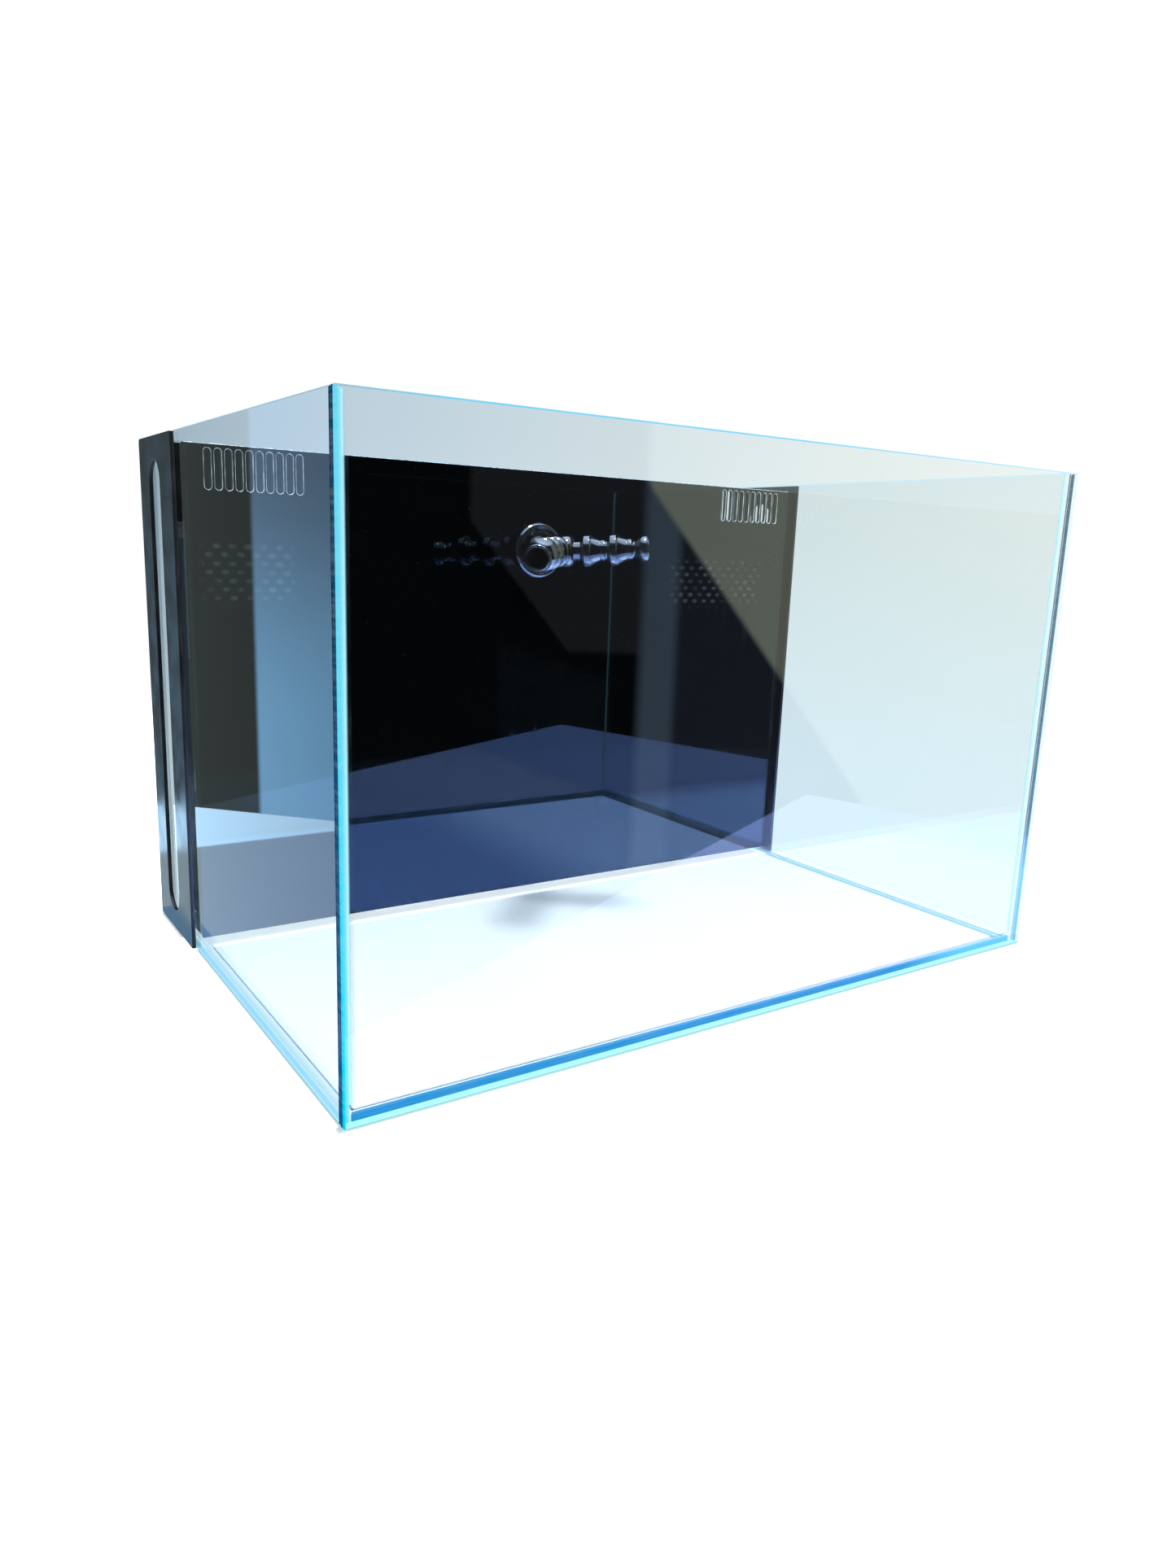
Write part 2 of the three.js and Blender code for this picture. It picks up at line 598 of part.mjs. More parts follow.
function strainer() {
  const start = HEAD_HALF + GAP;
  const plate = start + STRAINER_PLATE;
  const seat = start - 6;
  const inner = STRAINER - STRAINER_WALL;
  const top = STRAINER_END - STRAINER_WALL;
  const cage = alongX(turned([
    [0, top], [inner, top], [inner, plate], [SPIGOT_BORE, plate], [SPIGOT_BORE, seat], [SPIGOT, seat],
    [SPIGOT, start], [HEAD_RADIUS, start], [HEAD_RADIUS, plate], [STRAINER, plate],
    [STRAINER, STRAINER_END], [0, STRAINER_END],
  ]));
  const inlets = [0, 1, 2, 3, 4, 5].map((i) => alongX(rod(INLET, start - 1, plate + 1.4, 6))
    .translate(0, 0, INLET_CIRCLE).rotateX(i * Math.PI / 3));
  const slots = drumSlots(start + 6, STRAINER_END - 5, CAGE_SLOT);
  return cut(cage, ...slots, ...inlets).translate(0, PIPE_Y, PUMP_Z);
}

function flowRing() {
  const start = HEAD_HALF + STRAINER_PLATE + 3 * GAP;
  const end = STRAINER_END - 1;
  const band = alongX(tube(RING_INNER, RING_OUTER, start, end, 24));
  const tab = block(end - 4, end, -2, 2, RING_OUTER - 0.6, RING_OUTER + 4);
  const windows = drumSlots(start + 3.5, end - 3.5, RING_SLOT);
  return cut(join(band, tab), ...windows).translate(0, PIPE_Y, PUMP_Z);
}

function impeller() {
  const hub = tube(SHAFT + GAP, HUB, -8.7, VANE_HIGH + 1, 12);
  const vane = block(HUB - 1.2, VANE_REACH, VANE_LOW, VANE_HIGH, -VANE / 2, VANE / 2);
  const vanes = [0, 1, 2, 3, 4, 5].map((i) => vane.clone().rotateY(i * Math.PI / 3));
  return alongX(join(hub, ...vanes)).translate(0, PIPE_Y, PUMP_Z);
}

function suctionCup(x, y) {
  const low = FLOOR;
  const top = MOTOR_LOW - GAP;
  const cup = turned([
    [0, low + 2.6], [SUCTION - 1.6, low], [SUCTION, low], [SUCTION - 0.4, low + 1.2],
    [SUCTION_STEM, low + 4.4], [SUCTION_STEM, top], [0, top],
  ], 12);
  return alongZ(cup).translate(x, y, 0);
}

function addPump() {
  add('pump_head', pumpHead(), PUMP_PLASTIC);
  add('motor_housing', motorHousing(), PUMP_PLASTIC);
  add('intake_strainer', strainer(), PUMP_PLASTIC);
  add('flow_ring', flowRing(), PUMP_PLASTIC);
  const onAxis = (geometry) => alongX(geometry).translate(0, PIPE_Y, PUMP_Z);
  const wellEnd = MOTOR_BACK + WELL_WALL + GAP;
  const bush = 3.6;
  add('magnet_rotor', onAxis(tube(SHAFT + GAP, ROTOR, wellEnd + bush + 2 * GAP, -9)), MAGNET);
  add('impeller', impeller(), PUMP_PLASTIC);
  add('rotor_shaft', onAxis(rod(SHAFT, wellEnd + GAP, HEAD_HALF - 1, 12)), CERAMIC_ROD);
  add('rear_bush', onAxis(tube(SHAFT + GAP, WELL - GAP, wellEnd, wellEnd + bush)), BLACK_RUBBER);
  const frontBush = tube(SHAFT + GAP, SPIGOT_BORE - GAP, HEAD_HALF - 5.5, HEAD_HALF + 2);
  add('front_bush', onAxis(frontBush), BLACK_RUBBER);
  const gland = ring([[CORD, 0], [GLAND, 0], [GLAND, 4], [GLAND - 2.5, GLAND_LENGTH], [CORD, GLAND_LENGTH]]);
  gland.rotateZ(Math.PI / 2).translate(MOTOR_BACK - GAP, PIPE_Y, PUMP_Z + GLAND_RISE);
  add('cord_gland', gland, BLACK_RUBBER);
  for (const [end, x] of Object.entries(FEET_X)) {
    for (const [face, y] of Object.entries(FEET_Y)) {
      add(`${end}_${face}_suction_foot`, suctionCup(x, PIPE_Y + y), BLACK_RUBBER);
    }
  }
}

// ---- lift-out media baskets ----

function basket() {
  const half = BASKET_WIDTH / 2;
  const deep = BASKET_DEPTH / 2;
  const floor = BASKET_LOW + BASKET_FEET;
  const slot = BASKET_SLOT / 2;
  const shell = block(-half, half, -deep, deep, floor, BASKET_TOP);
  const feet = [[-1, -1], [-1, 1], [1, -1], [1, 1]].map(([x, y]) => {
    const [innerX, outerX] = [x * (half - BASKET_FOOT), x * half].sort((a, b) => a - b);
    const [innerY, outerY] = [y * (deep - BASKET_FOOT), y * deep].sort((a, b) => a - b);
    return block(innerX, outerX, innerY, outerY, BASKET_LOW, floor + 1);
  });
  const inside = block(-half + BASKET_WALL, half - BASKET_WALL, -deep + BASKET_WALL, deep - BASKET_WALL,
    floor + BASKET_WALL, BASKET_TOP + 1);
  const hold = HAND_HOLD / 2;
  const handHold = block(-half - 1, half + 1, -hold, hold, BASKET_TOP - 12, BASKET_TOP - 4);
  const tools = [inside, handHold];
  for (const low of SLOT_ROWS) {
    const high = low + SLOT_HEIGHT;
    tools.push(...SLOTS_WIDE.map((x) => block(x - slot, x + slot, -deep - 1, deep + 1, low, high)));
    tools.push(...SLOTS_DEEP.map((y) => block(-half - 1, half + 1, y - slot, y + slot, low, high)));
  }
  for (const x of SLOTS_WIDE) {
    tools.push(block(x - slot, x + slot, -deep + 8, deep - 8, floor - 1, floor + BASKET_WALL + 1));
  }
  return cut(join(shell, ...feet), ...tools);
}

function addBaskets() {
  const slack = BASKET_WALL + 1;
  const half = BASKET_WIDTH / 2 - slack;
  const deep = BASKET_DEPTH / 2 - slack;
  const bottom = BASKET_LOW + BASKET_FEET + BASKET_WALL + GAP;
  const layer = (low, high) => block(-half, half, -deep, deep, low, high);
  for (const [side, sign] of [['left', -1], ['right', 1]]) {
    const place = addGroup(object, [sign * BASKET_X, PIPE_Y, 0]);
    add(`${side}_media_basket`, basket(), PUMP_PLASTIC, place);
    add(`${side}_ceramic_media`, layer(bottom, MEDIA_TOP), CERAMIC_MEDIA, place);
    add(`${side}_coarse_sponge`, layer(MEDIA_TOP + GAP, SPONGE_TOP), COARSE_FOAM, place);
    add(`${side}_floss_pad`, layer(SPONGE_TOP + GAP, FLOSS_TOP), FLOSS, place);
  }
}

addGlass();
addSealant();
addCovers();
addFilterWalls();
addReturn();
addHose();
addPump();
addBaskets();

export default object;
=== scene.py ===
"""The looks of a rimless aquarium with a black rear filter section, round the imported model. Metres, +Z up."""

import json
import math
import random
from itertools import product

import bmesh
import bpy
from mathutils import Matrix, Vector


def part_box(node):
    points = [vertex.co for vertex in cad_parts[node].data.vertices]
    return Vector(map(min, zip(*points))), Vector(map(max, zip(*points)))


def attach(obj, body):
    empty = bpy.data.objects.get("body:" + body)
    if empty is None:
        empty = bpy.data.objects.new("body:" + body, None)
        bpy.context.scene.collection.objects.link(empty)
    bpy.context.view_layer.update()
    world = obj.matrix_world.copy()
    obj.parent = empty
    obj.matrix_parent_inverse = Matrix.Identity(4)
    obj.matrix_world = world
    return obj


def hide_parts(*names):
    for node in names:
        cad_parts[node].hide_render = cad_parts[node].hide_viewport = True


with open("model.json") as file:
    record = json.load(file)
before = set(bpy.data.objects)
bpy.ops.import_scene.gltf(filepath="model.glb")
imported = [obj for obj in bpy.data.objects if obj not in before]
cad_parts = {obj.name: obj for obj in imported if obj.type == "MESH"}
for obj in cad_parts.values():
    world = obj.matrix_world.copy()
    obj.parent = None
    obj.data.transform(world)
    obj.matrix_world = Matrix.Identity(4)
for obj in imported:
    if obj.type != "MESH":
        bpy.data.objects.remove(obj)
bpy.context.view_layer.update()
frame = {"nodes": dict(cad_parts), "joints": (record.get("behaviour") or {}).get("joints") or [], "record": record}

MM = 0.001
BODY_OF = {node: body for body, nodes in frame["record"]["behaviour"]["bodies"].items() for node in nodes}
JOINT_AT = {joint["child"]: Vector(joint["pos_m"]) for joint in frame["joints"] if "pos_m" in joint}
SIDES = ("left", "right")

# ---- sizes of the finer shapes, in millimetres unless a name says otherwise ----

GLASS_CHAMFER = 1.1          # polished arris on the panes
SHEET_EDGE = 0.5             # rounding of an acrylic sheet's cut edges
COVER_CORNER = 3             # rear corners of the side covers
WINDOW_WIDTH = 33            # sight window in each side cover
WINDOW_LOW, WINDOW_HIGH = 17, 366
WINDOW_SETBACK = 52.5        # side cover's front edge to the middle of its window
COMB_SLOTS, COMB_PITCH, COMB_SLOT = 10, 7.5, 5
COMB_LOW, COMB_HIGH, COMB_CENTRE = 345, 374, 243
COMB_REACH = 45              # a comb's middle to its outer end, with a margin
RETURN_HOLE = 12.6           # radius of the hole for the bulkhead
RETURN_HEIGHT = 310.5        # the hole's middle above the floor
BEAD = 3                     # leg of a silicone fillet

FLANGE, FLANGE_BACK, FLANGE_FRONT = 23.3, 2.1, 6.5
SHANK, SHANK_BORE, SHANK_END = 12.2, 9.4, -24
BALL, SOCKET, CUP, NECK, COLLAR, BORE = 10, 10.6, 13.2, 7.9, 8.9, 5.6
LIP, BALL_CUT, PITCH = 3.6, 6, 22.4
BAND_END, TAPER_END, COLLAR_END = 2, 11.2, 14.4
FIRST_BALL = 19              # adapter ball's middle, ahead of the baffle
HUB = 16                     # fork's ball to the point where its branches meet
BRANCH, BRANCH_ANGLE, SHOULDER = 25.2, 50, 7.5
WATERWAY_END = 34            # the waterways are cut this far along the fork's branches, past the balls
NOZZLE_LENGTH, WAIST, FLARE, MOUTH, MOUTH_BORE = 28.6, 6.7, 10.7, 9.8, 8.4

# ---- camera and light ----

CAMERA_AT = Vector((-0.4912, -0.7051, 0.3121))
CAMERA_YAW, CAMERA_PITCH, CAMERA_ROLL = 34.26, -12.34, 2.14   # degrees, from +Y towards +X, up, and clockwise
CAMERA_LENS = 24.5
FLOOR_DROP = 0.0004          # the floor lies this far under the tank


# ---- node helpers ----

def colour(code):
    """Opaque linear RGBA of a hex colour such as 26282d."""
    channels = [int(code[i:i + 2], 16) / 255 for i in (0, 2, 4)]
    linear = [c / 12.92 if c <= 0.04045 else ((c + 0.055) / 1.055) ** 2.4 for c in channels]
    return (*linear, 1.0)


def feed(node, inputs):
    """Sets a node's inputs: a socket is linked, anything else becomes the value."""
    for key, value in inputs.items():
        socket = node.inputs[key]
        if isinstance(value, bpy.types.NodeSocket):
            node.id_data.links.new(value, socket)
        else:
            socket.default_value = value


def add_node(tree, kind, inputs=None, **settings):
    node = tree.nodes.new(kind)
    for key, value in settings.items():
        setattr(node, key, value)
    feed(node, inputs or {})
    return node


def maths(tree, operation, first, second=0.0):
    return add_node(tree, "ShaderNodeMath", {0: first, 1: second}, operation=operation).outputs[0]


def times(tree, first, second):
    return maths(tree, "MULTIPLY", first, second)


def mix_colour(tree, factor, first, second):
    node = add_node(tree, "ShaderNodeMix", {0: factor, 6: first, 7: second}, data_type="RGBA")
    return node.outputs[2]


def mix_value(tree, factor, first, second):
    return add_node(tree, "ShaderNodeMix", {0: factor, 2: first, 3: second}).outputs[0]


def mix_shader(tree, share, first, second):
    return add_node(tree, "ShaderNodeMixShader", {0: share, 1: first, 2: second}).outputs[0]


def map_range(tree, value, low, high, to_low=0.0, to_high=1.0, smooth=True):
    kind = "SMOOTHSTEP" if smooth else "LINEAR"
    node = add_node(tree, "ShaderNodeMapRange", {0: value, 1: low, 2: high, 3: to_low, 4: to_high},
                    interpolation_type=kind)
    return node.outputs[0]


def place_of(tree):
    """The point's place in the row frame at rest, in metres."""
    return add_node(tree, "ShaderNodeTexCoord").outputs["Object"]


def apart(tree, vector):
    """A vector's X, Y and Z as separate sockets."""
    return add_node(tree, "ShaderNodeSeparateXYZ", {0: vector}).outputs


def rays_of(tree):
    return add_node(tree, "ShaderNodeLightPath").outputs


def length_of(tree, vector):
    return add_node(tree, "ShaderNodeVectorMath", {0: vector}, operation="LENGTH").outputs["Value"]


def noise(tree, scale, detail=3.0, stretch=(1, 1, 1)):
    mapped = add_node(tree, "ShaderNodeMapping", {"Vector": place_of(tree), "Scale": stretch}).outputs[0]
    inputs = {"Vector": mapped, "Scale": scale, "Detail": detail}
    return add_node(tree, "ShaderNodeTexNoise", inputs).outputs[0]


def bump(tree, height, strength, distance):
    inputs = {"Height": height, "Strength": strength, "Distance": distance}
    return add_node(tree, "ShaderNodeBump", inputs).outputs[0]


def new_material(name, **inputs):
    """A Principled material; inputs are named as on the shader, with _ for a space."""
    material = bpy.data.materials.new(name)
    material.use_nodes = True
    tree = material.node_tree
    shader = tree.nodes["Principled BSDF"]
    feed(shader, {key.replace("_", " "): value for key, value in inputs.items()})
    return material, tree, shader


# ---- materials ----

def worn_plastic(name, dark, light, rough_low, rough_high, grain, depth, **inputs):
    """Moulded plastic or rubber: faint mottling in colour and gloss, and a fine grain in the surface."""
    material, tree, shader = new_material(name, **inputs)
    mottle = noise(tree, 45, 4)
    fine = noise(tree, grain, 2)
    feed(shader, {
        "Base Color": mix_colour(tree, map_range(tree, mottle, 0.35, 0.65), colour(dark), colour(light)),
        "Roughness": map_range(tree, mottle, 0.3, 0.7, rough_low, rough_high),
        "Normal": bump(tree, fine, 0.35, depth),
    })
    return material


def glass_face():
    """A faint tint that lets light straight through, and a sharp reflection that grows at a slant."""
    material, tree, shader = new_material("glass_face")
    tree.nodes.remove(shader)
    wipe = noise(tree, 9, 2)
    tint = mix_colour(tree, wipe, (0.935, 0.966, 0.974, 1), (0.948, 0.974, 0.981, 1))
    through = add_node(tree, "ShaderNodeBsdfTransparent", {"Color": tint}).outputs[0]
    gloss = add_node(tree, "ShaderNodeBsdfAnisotropic", {"Color": (1, 1, 1, 1), "Roughness": 0.0}).outputs[0]
    slant = add_node(tree, "ShaderNodeFresnel", {"IOR": 1.72}).outputs[0]
    outside = maths(tree, "SUBTRACT", 1.0, add_node(tree, "ShaderNodeNewGeometry").outputs["Backfacing"])
    share = times(tree, slant, outside)
    feed(tree.nodes["Material Output"], {"Surface": mix_shader(tree, share, through, gloss)})
    return material


def ramp(tree, value, stops):
    """Colours at rising positions in millimetres, with straight blends between them."""
    shown = colour(stops[0][1])
    for (low, _), (high, code) in zip(stops, stops[1:]):
        share = map_range(tree, value, low * MM, high * MM, smooth=False)
        shown = mix_colour(tree, share, shown, colour(code))
    return shown


def glass_edge(name, axis, stops, low_stops=None, hidden=0.0, pale=None):
    """A polished cut edge that glows with painted light, where the light caught inside the pane comes out. Its
    colour runs along one axis and changes to the low stops near the floor. Hidden says how much of it can't be
    seen from inside the glass. Pale is an axis and a stretch in millimetres with a painted white highlight.
    What shines hardly mirrors it."""
    material, tree, shader = new_material(name, Roughness=0.2, IOR=1.52, Specular_IOR_Level=0.0,
                                          Emission_Strength=0.9)
    parts = apart(tree, place_of(tree))
    shown = ramp(tree, parts[axis], stops)
    if low_stops:
        low = map_range(tree, parts["Z"], 20 * MM, 300 * MM, 1.0, 0.0)
        shown = mix_colour(tree, low, shown, ramp(tree, parts[axis], low_stops))
    streaks = map_range(tree, noise(tree, 420, 2, (0.06, 0.06, 1)), 0.35, 0.7, 0.0, 0.06)
    shown = mix_colour(tree, streaks, shown, colour("e6fbff"))
    from_within = add_node(tree, "ShaderNodeNewGeometry").outputs["Backfacing"]
    if pale:
        along, start, end = pale
        stretch = band(tree, parts[along], start * MM, end * MM, 0.2 * MM)
        shown = mix_colour(tree, stretch, shown, colour("eef8fc"))
    dimmed = mix_colour(tree, 0.88, shown, (0, 0, 0, 1))
    mirrored = times(tree, rays_of(tree)["Is Glossy Ray"], 0.93)
    clear = maths(tree, "MAXIMUM", times(tree, from_within, hidden), mirrored)
    feed(shader, {
        "Base Color": dimmed, "Emission Color": shown, "Alpha": maths(tree, "SUBTRACT", 1.0, clear)})
    return material


def silicone():
    """Clear silicone: nearly see-through, with a painted glow in the front corners for the light of the glowing
    edges.
    """
    material, tree, shader = new_material(
        "silicone_clear", Base_Color=colour("86a0a8"), Roughness=0.22, IOR=1.41)
    ripple = noise(tree, 160, 2, (1, 1, 0.25))
    parts = apart(tree, place_of(tree))
    across = maths(tree, "ABSOLUTE", parts["X"])
    corner = times(tree, map_range(tree, across, 292.2 * MM, 293.8 * MM),
                   map_range(tree, parts["Y"], -194.6 * MM, -193.4 * MM, 1.0, 0.0))
    # Painted glow: emission that rises up the front corners.
    upright = times(tree, corner, map_range(tree, parts["Z"], 9 * MM, 12 * MM, 0.0, 0.8))
    milky = map_range(tree, ripple, 0.3, 0.7, 0.006, 0.02)
    feed(shader, {
        "Emission Color": colour("b4f4ff"), "Emission Strength": upright,
        "Alpha": maths(tree, "MAXIMUM", milky, upright), "Normal": bump(tree, ripple, 0.3, 0.0004),
    })
    return material


def mirror_acrylic():
    """Cast black acrylic, polished like a mirror, with fine scratches, dust and rows of faint dots."""
    material, tree, shader = new_material("acrylic_mirror", IOR=1.49, Specular_Tint=(0.66, 0.85, 1.0, 1))
    scratch = map_range(tree, noise(tree, 60, 8, (1, 1, 0.12)), 0.62, 0.70)
    dust = map_range(tree, noise(tree, 900, 1), 0.77, 0.82)
    parts = apart(tree, place_of(tree))
    dots = staggered_dots(tree, parts["X"], parts["Z"])
    dull = mix_colour(tree, dust, colour("020304"), colour("3a4046"))
    feed(shader, {
        "Base Color": mix_colour(tree, dots, dull, colour("4a504e")),
        "Roughness": map_range(tree, scratch, 0.0, 1.0, 0.015, 0.07),
    })
    return material


def staggered_dots(tree, across, up):
    """Mask of faint dots in offset rows, in two patches under the combs."""
    column, row, wide, tall = 11.6 * MM, 6.3 * MM, 4.4 * MM, 2.7 * MM
    line = maths(tree, "DIVIDE", up, row)
    odd = maths(tree, "MODULO", maths(tree, "FLOOR", line), 2.0)
    shifted = maths(tree, "ADD", maths(tree, "DIVIDE", across, column), times(tree, odd, 0.5))
    centred = [maths(tree, "SUBTRACT", maths(tree, "FRACT", cell), 0.5) for cell in (shifted, line)]
    reach = add_node(tree, "ShaderNodeCombineXYZ", {
        0: times(tree, centred[0], column / wide),
        1: times(tree, centred[1], row / tall),
    }).outputs[0]
    dot = map_range(tree, length_of(tree, reach), 0.3, 1.0, 1.0, 0.0)
    left = band(tree, across, -288 * MM, -210 * MM, 12 * MM)
    right = band(tree, across, 142 * MM, 271 * MM, 16 * MM)
    height = band(tree, up, 259 * MM, 314 * MM, 12 * MM)
    patch = times(tree, maths(tree, "ADD", left, right), height)
    worn = map_range(tree, noise(tree, 60, 2), 0.3, 0.7, 0.12, 0.55)
    return times(tree, times(tree, dot, patch), worn)


def band(tree, value, low, high, fade):
    """1 between low and high, fading out over the given width on both sides."""
    rising = map_range(tree, value, low, low + fade)
    falling = map_range(tree, value, high - fade, high, 1.0, 0.0)
    return times(tree, rising, falling)


def cut_acrylic():
    """A cut or routed edge of the acrylic, which scatters light where the face doesn't. Its pale colour is partly
    a painted highlight along the rims.
    """
    material, tree, shader = new_material("acrylic_cut", Roughness=0.35, Coat_Weight=0.5)
    saw = noise(tree, 700, 2, (1, 1, 0.15))
    feed(shader, {
        "Base Color": mix_colour(tree, map_range(tree, saw, 0.35, 0.7), colour("6c7984"), colour("c3d0d9")),
        "Normal": bump(tree, saw, 0.4, 0.0002),
    })
    return material


def brushed_steel():
    material, tree, shader = new_material("steel_brushed", Metallic=1.0, Anisotropic=0.5)
    lines = noise(tree, 900, 3, (1, 1, 0.04))
    feed(shader, {
        "Base Color": mix_colour(tree, lines, colour("a9adb1"), colour("d6d9dc")),
        "Roughness": map_range(tree, lines, 0.3, 0.7, 0.2, 0.38),
        "Normal": bump(tree, lines, 0.15, 0.0001),
    })
    return material


def porous(name, dark, light, cells, depth, sheen=0.0):
    """Foam, sintered ceramic or felt: light cell walls round pores darkened with painted shade."""
    material, tree, shader = new_material(name, Roughness=0.95, Sheen_Weight=sheen)
    cell = {"Vector": place_of(tree), "Scale": cells}
    pores = add_node(tree, "ShaderNodeTexVoronoi", cell).outputs["Distance"]
    shade = map_range(tree, pores, 0.15, 0.6)
    patchy = map_range(tree, noise(tree, cells * 0.12, 3), 0.3, 0.7, 0.0, 0.45)
    mixed = mix_colour(tree, shade, colour(dark), colour(light))
    feed(shader, {
        "Base Color": mix_colour(tree, patchy, mixed, colour(light)),
        "Normal": bump(tree, pores, 0.8, depth),
    })
    return material


# The painted glow of the panes' cut edges, at places in millimetres along an axis of the row frame.
RIGHT_EDGE = [(0, "6fc4e6"), (60, "6fcbf0"), (105, "1f6ea3"), (200, "1c6a92"), (384, "29597c")]
EDGES = {
    "corner": {
        "axis": "Y",
        "stops": [(-202.5, "69d2ef"), (-201, "5cd0f0"), (-200.4, "0a3a5e"), (-199, "05344f"),
                  (-196.5, "3d5c71")],
        "low_stops": [(-202.5, "09e4ff"), (-201, "06b2da"), (-200, "004677"), (-196.5, "2b6793")]},
    "left": {
        "axis": "X",
        "stops": [(-300, "06344f"), (-298.9, "06344f"), (-298.6, "60ddf9"), (-296.5, "6ce7f7"),
                  (-294, "aff4ff")],
        "low_stops": [(-300, "004677"), (-298.9, "004677"), (-298.6, "09e4ff"), (-297, "1ae2f9"),
                      (-294, "aef9ff")]},
    "right": {"axis": "Z", "stops": RIGHT_EDGE, "pale": ("X", 293, 297.4)},
    "far": {"axis": "Z", "stops": RIGHT_EDGE, "pale": ("Y", -203, -198.6)},
    "teal": {"axis": "Z", "stops": [(0, "1b5f7d")], "hidden": 0.6},
    "deep": {"axis": "X", "stops": [(160, "0094da"), (230, "66d2fb")]},
    "pale": {"axis": "Z", "stops": [(0, "d6f8fb"), (6, "e6fcfd")], "hidden": 0.85},
    "foot": {"axis": "Z", "stops": [(0, "b4ffff")]},
    "foot_left": {
        "axis": "X",
        "stops": [(-299.2, "c3ffff"), (-298.4, "c3ffff"), (-298, "9fddfa"), (-295.6, "98d8f6"),
                  (-294.6, "ccf5f9")]},
    "line": {"axis": "Z", "stops": [(0, "7fb6c4"), (2, "8abfc7")]},
    "top": {
        "axis": "X",
        "stops": [(-300, "8fb4c2"), (-240, "6cc6e6"), (0, "7fcdec"), (300, "bfe2ee")], "hidden": 0.9},
}

LOOKS = {
    "glass": glass_face(),
    **{f"edge_{name}": glass_edge(f"glass_edge_{name}", **edge) for name, edge in EDGES.items()},
    "silicone": silicone(),
    "acrylic": mirror_acrylic(),
    "acrylic_cut": cut_acrylic(),
    "cover": worn_plastic("cover_satin", "0b0c0f", "101216", 0.14, 0.24, 1800, 0.00003, IOR=1.42),
    "cover_cut": worn_plastic("cover_cut_edge", "0e1014", "171a1f", 0.3, 0.45, 900, 0.0001),
    "fitting": worn_plastic(
        "fitting_gloss", "08090c", "0e1014", 0.07, 0.14, 2200, 0.00002,
        IOR=1.55, Coat_Weight=0.8, Coat_Roughness=0.04, Specular_Tint=(0.88, 0.93, 1.0, 1)),
    "pump": worn_plastic("pump_textured", "131416", "1f2124", 0.42, 0.58, 2600, 0.00012),
    "basket": worn_plastic("basket_matte", "17191b", "24272a", 0.45, 0.6, 1900, 0.0001),
    "rubber": worn_plastic("rubber_black", "121213", "1d1d1e", 0.65, 0.85, 1400, 0.0001),
    "hose": worn_plastic("hose_soft", "1f2125", "2c2f34", 0.34, 0.5, 600, 0.0001, Sheen_Weight=0.1),
    "steel": brushed_steel(),
    "magnet": worn_plastic("magnet_ferrite", "3b3733", "56514c", 0.5, 0.65, 1500, 0.0002, Metallic=0.3),
    "ceramic_rod": worn_plastic("ceramic_rod", "e6e1d7", "f3f0ea", 0.2, 0.32, 1200, 0.00004, IOR=1.7),
    "ceramic_media": porous("ceramic_porous", "8c7d66", "cdbfa6", 900, 0.0006),
    "foam": porous("foam_coarse", "07090b", "2e363e", 520, 0.0014, sheen=0.2),
    "floss": porous("floss_fibre", "9aa2a2", "cfd5d4", 700, 0.0009, sheen=0.4),
}


# ---- mesh helpers ----

def link(item):
    bpy.context.scene.collection.objects.link(item)


def add_piece(name, bm, looks, crisp=35):
    """Turns a bmesh into an object. Faces shade smoothly across edges that turn less than crisp degrees."""
    for edge in bm.edges:
        edge.smooth = edge.smooth and edge.calc_face_angle(math.pi) < math.radians(crisp)
    mesh = bpy.data.meshes.new(name)
    bm.to_mesh(mesh)
    bm.free()
    for look in looks:
        mesh.materials.append(LOOKS[look])
    piece = bpy.data.objects.new(name, mesh)
    link(piece)
    return piece


def smooth_faces(bm):
    for face in bm.faces:
        face.smooth = True


def stands_for(piece, node):
    """The piece takes a CAD node's place and body; the node is hidden."""
    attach(piece, BODY_OF[node])
    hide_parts(node)
    return piece


def arc(centre, radius, start, steps, sweep=90):
    """Points of an arc, in degrees, counter-clockwise from start."""
    angles = [math.radians(start + sweep * i / steps) for i in range(steps + 1)]
    return [(centre[0] + radius * math.cos(a), centre[1] + radius * math.sin(a)) for a in angles]


def rectangle(low, high, corners, steps=4):
    """A rectangle's outline for any inset, with a radius for each corner, counter-clockwise from low-low."""
    def loop(inset):
        points = []
        signs = [(1, 1), (-1, 1), (-1, -1), (1, -1)]
        places = [low, (high[0], low[1]), high, (low[0], high[1])]
        for i, (place, sign, corner) in enumerate(zip(places, signs, corners)):
            centre = (place[0] + sign[0] * corner, place[1] + sign[1] * corner)
            points += arc(centre, max(corner - inset, 0.02 * MM), 180 + 90 * i, steps)
        return points
    return loop


def long_hole(across, low, high, width, steps=12):
    """A round-ended upright slot, or a round hole where low and high are a width apart."""
    def loop(inset):
        radius = width / 2
        top = arc((across, high - radius), radius + inset, 0, steps, 180)
        return top + arc((across, low + radius), radius + inset, 180, steps, 180)
    return loop


FACE, EDGE, HOLE_WALL, ARRIS = range(4)  # material slots of a sheet's parts


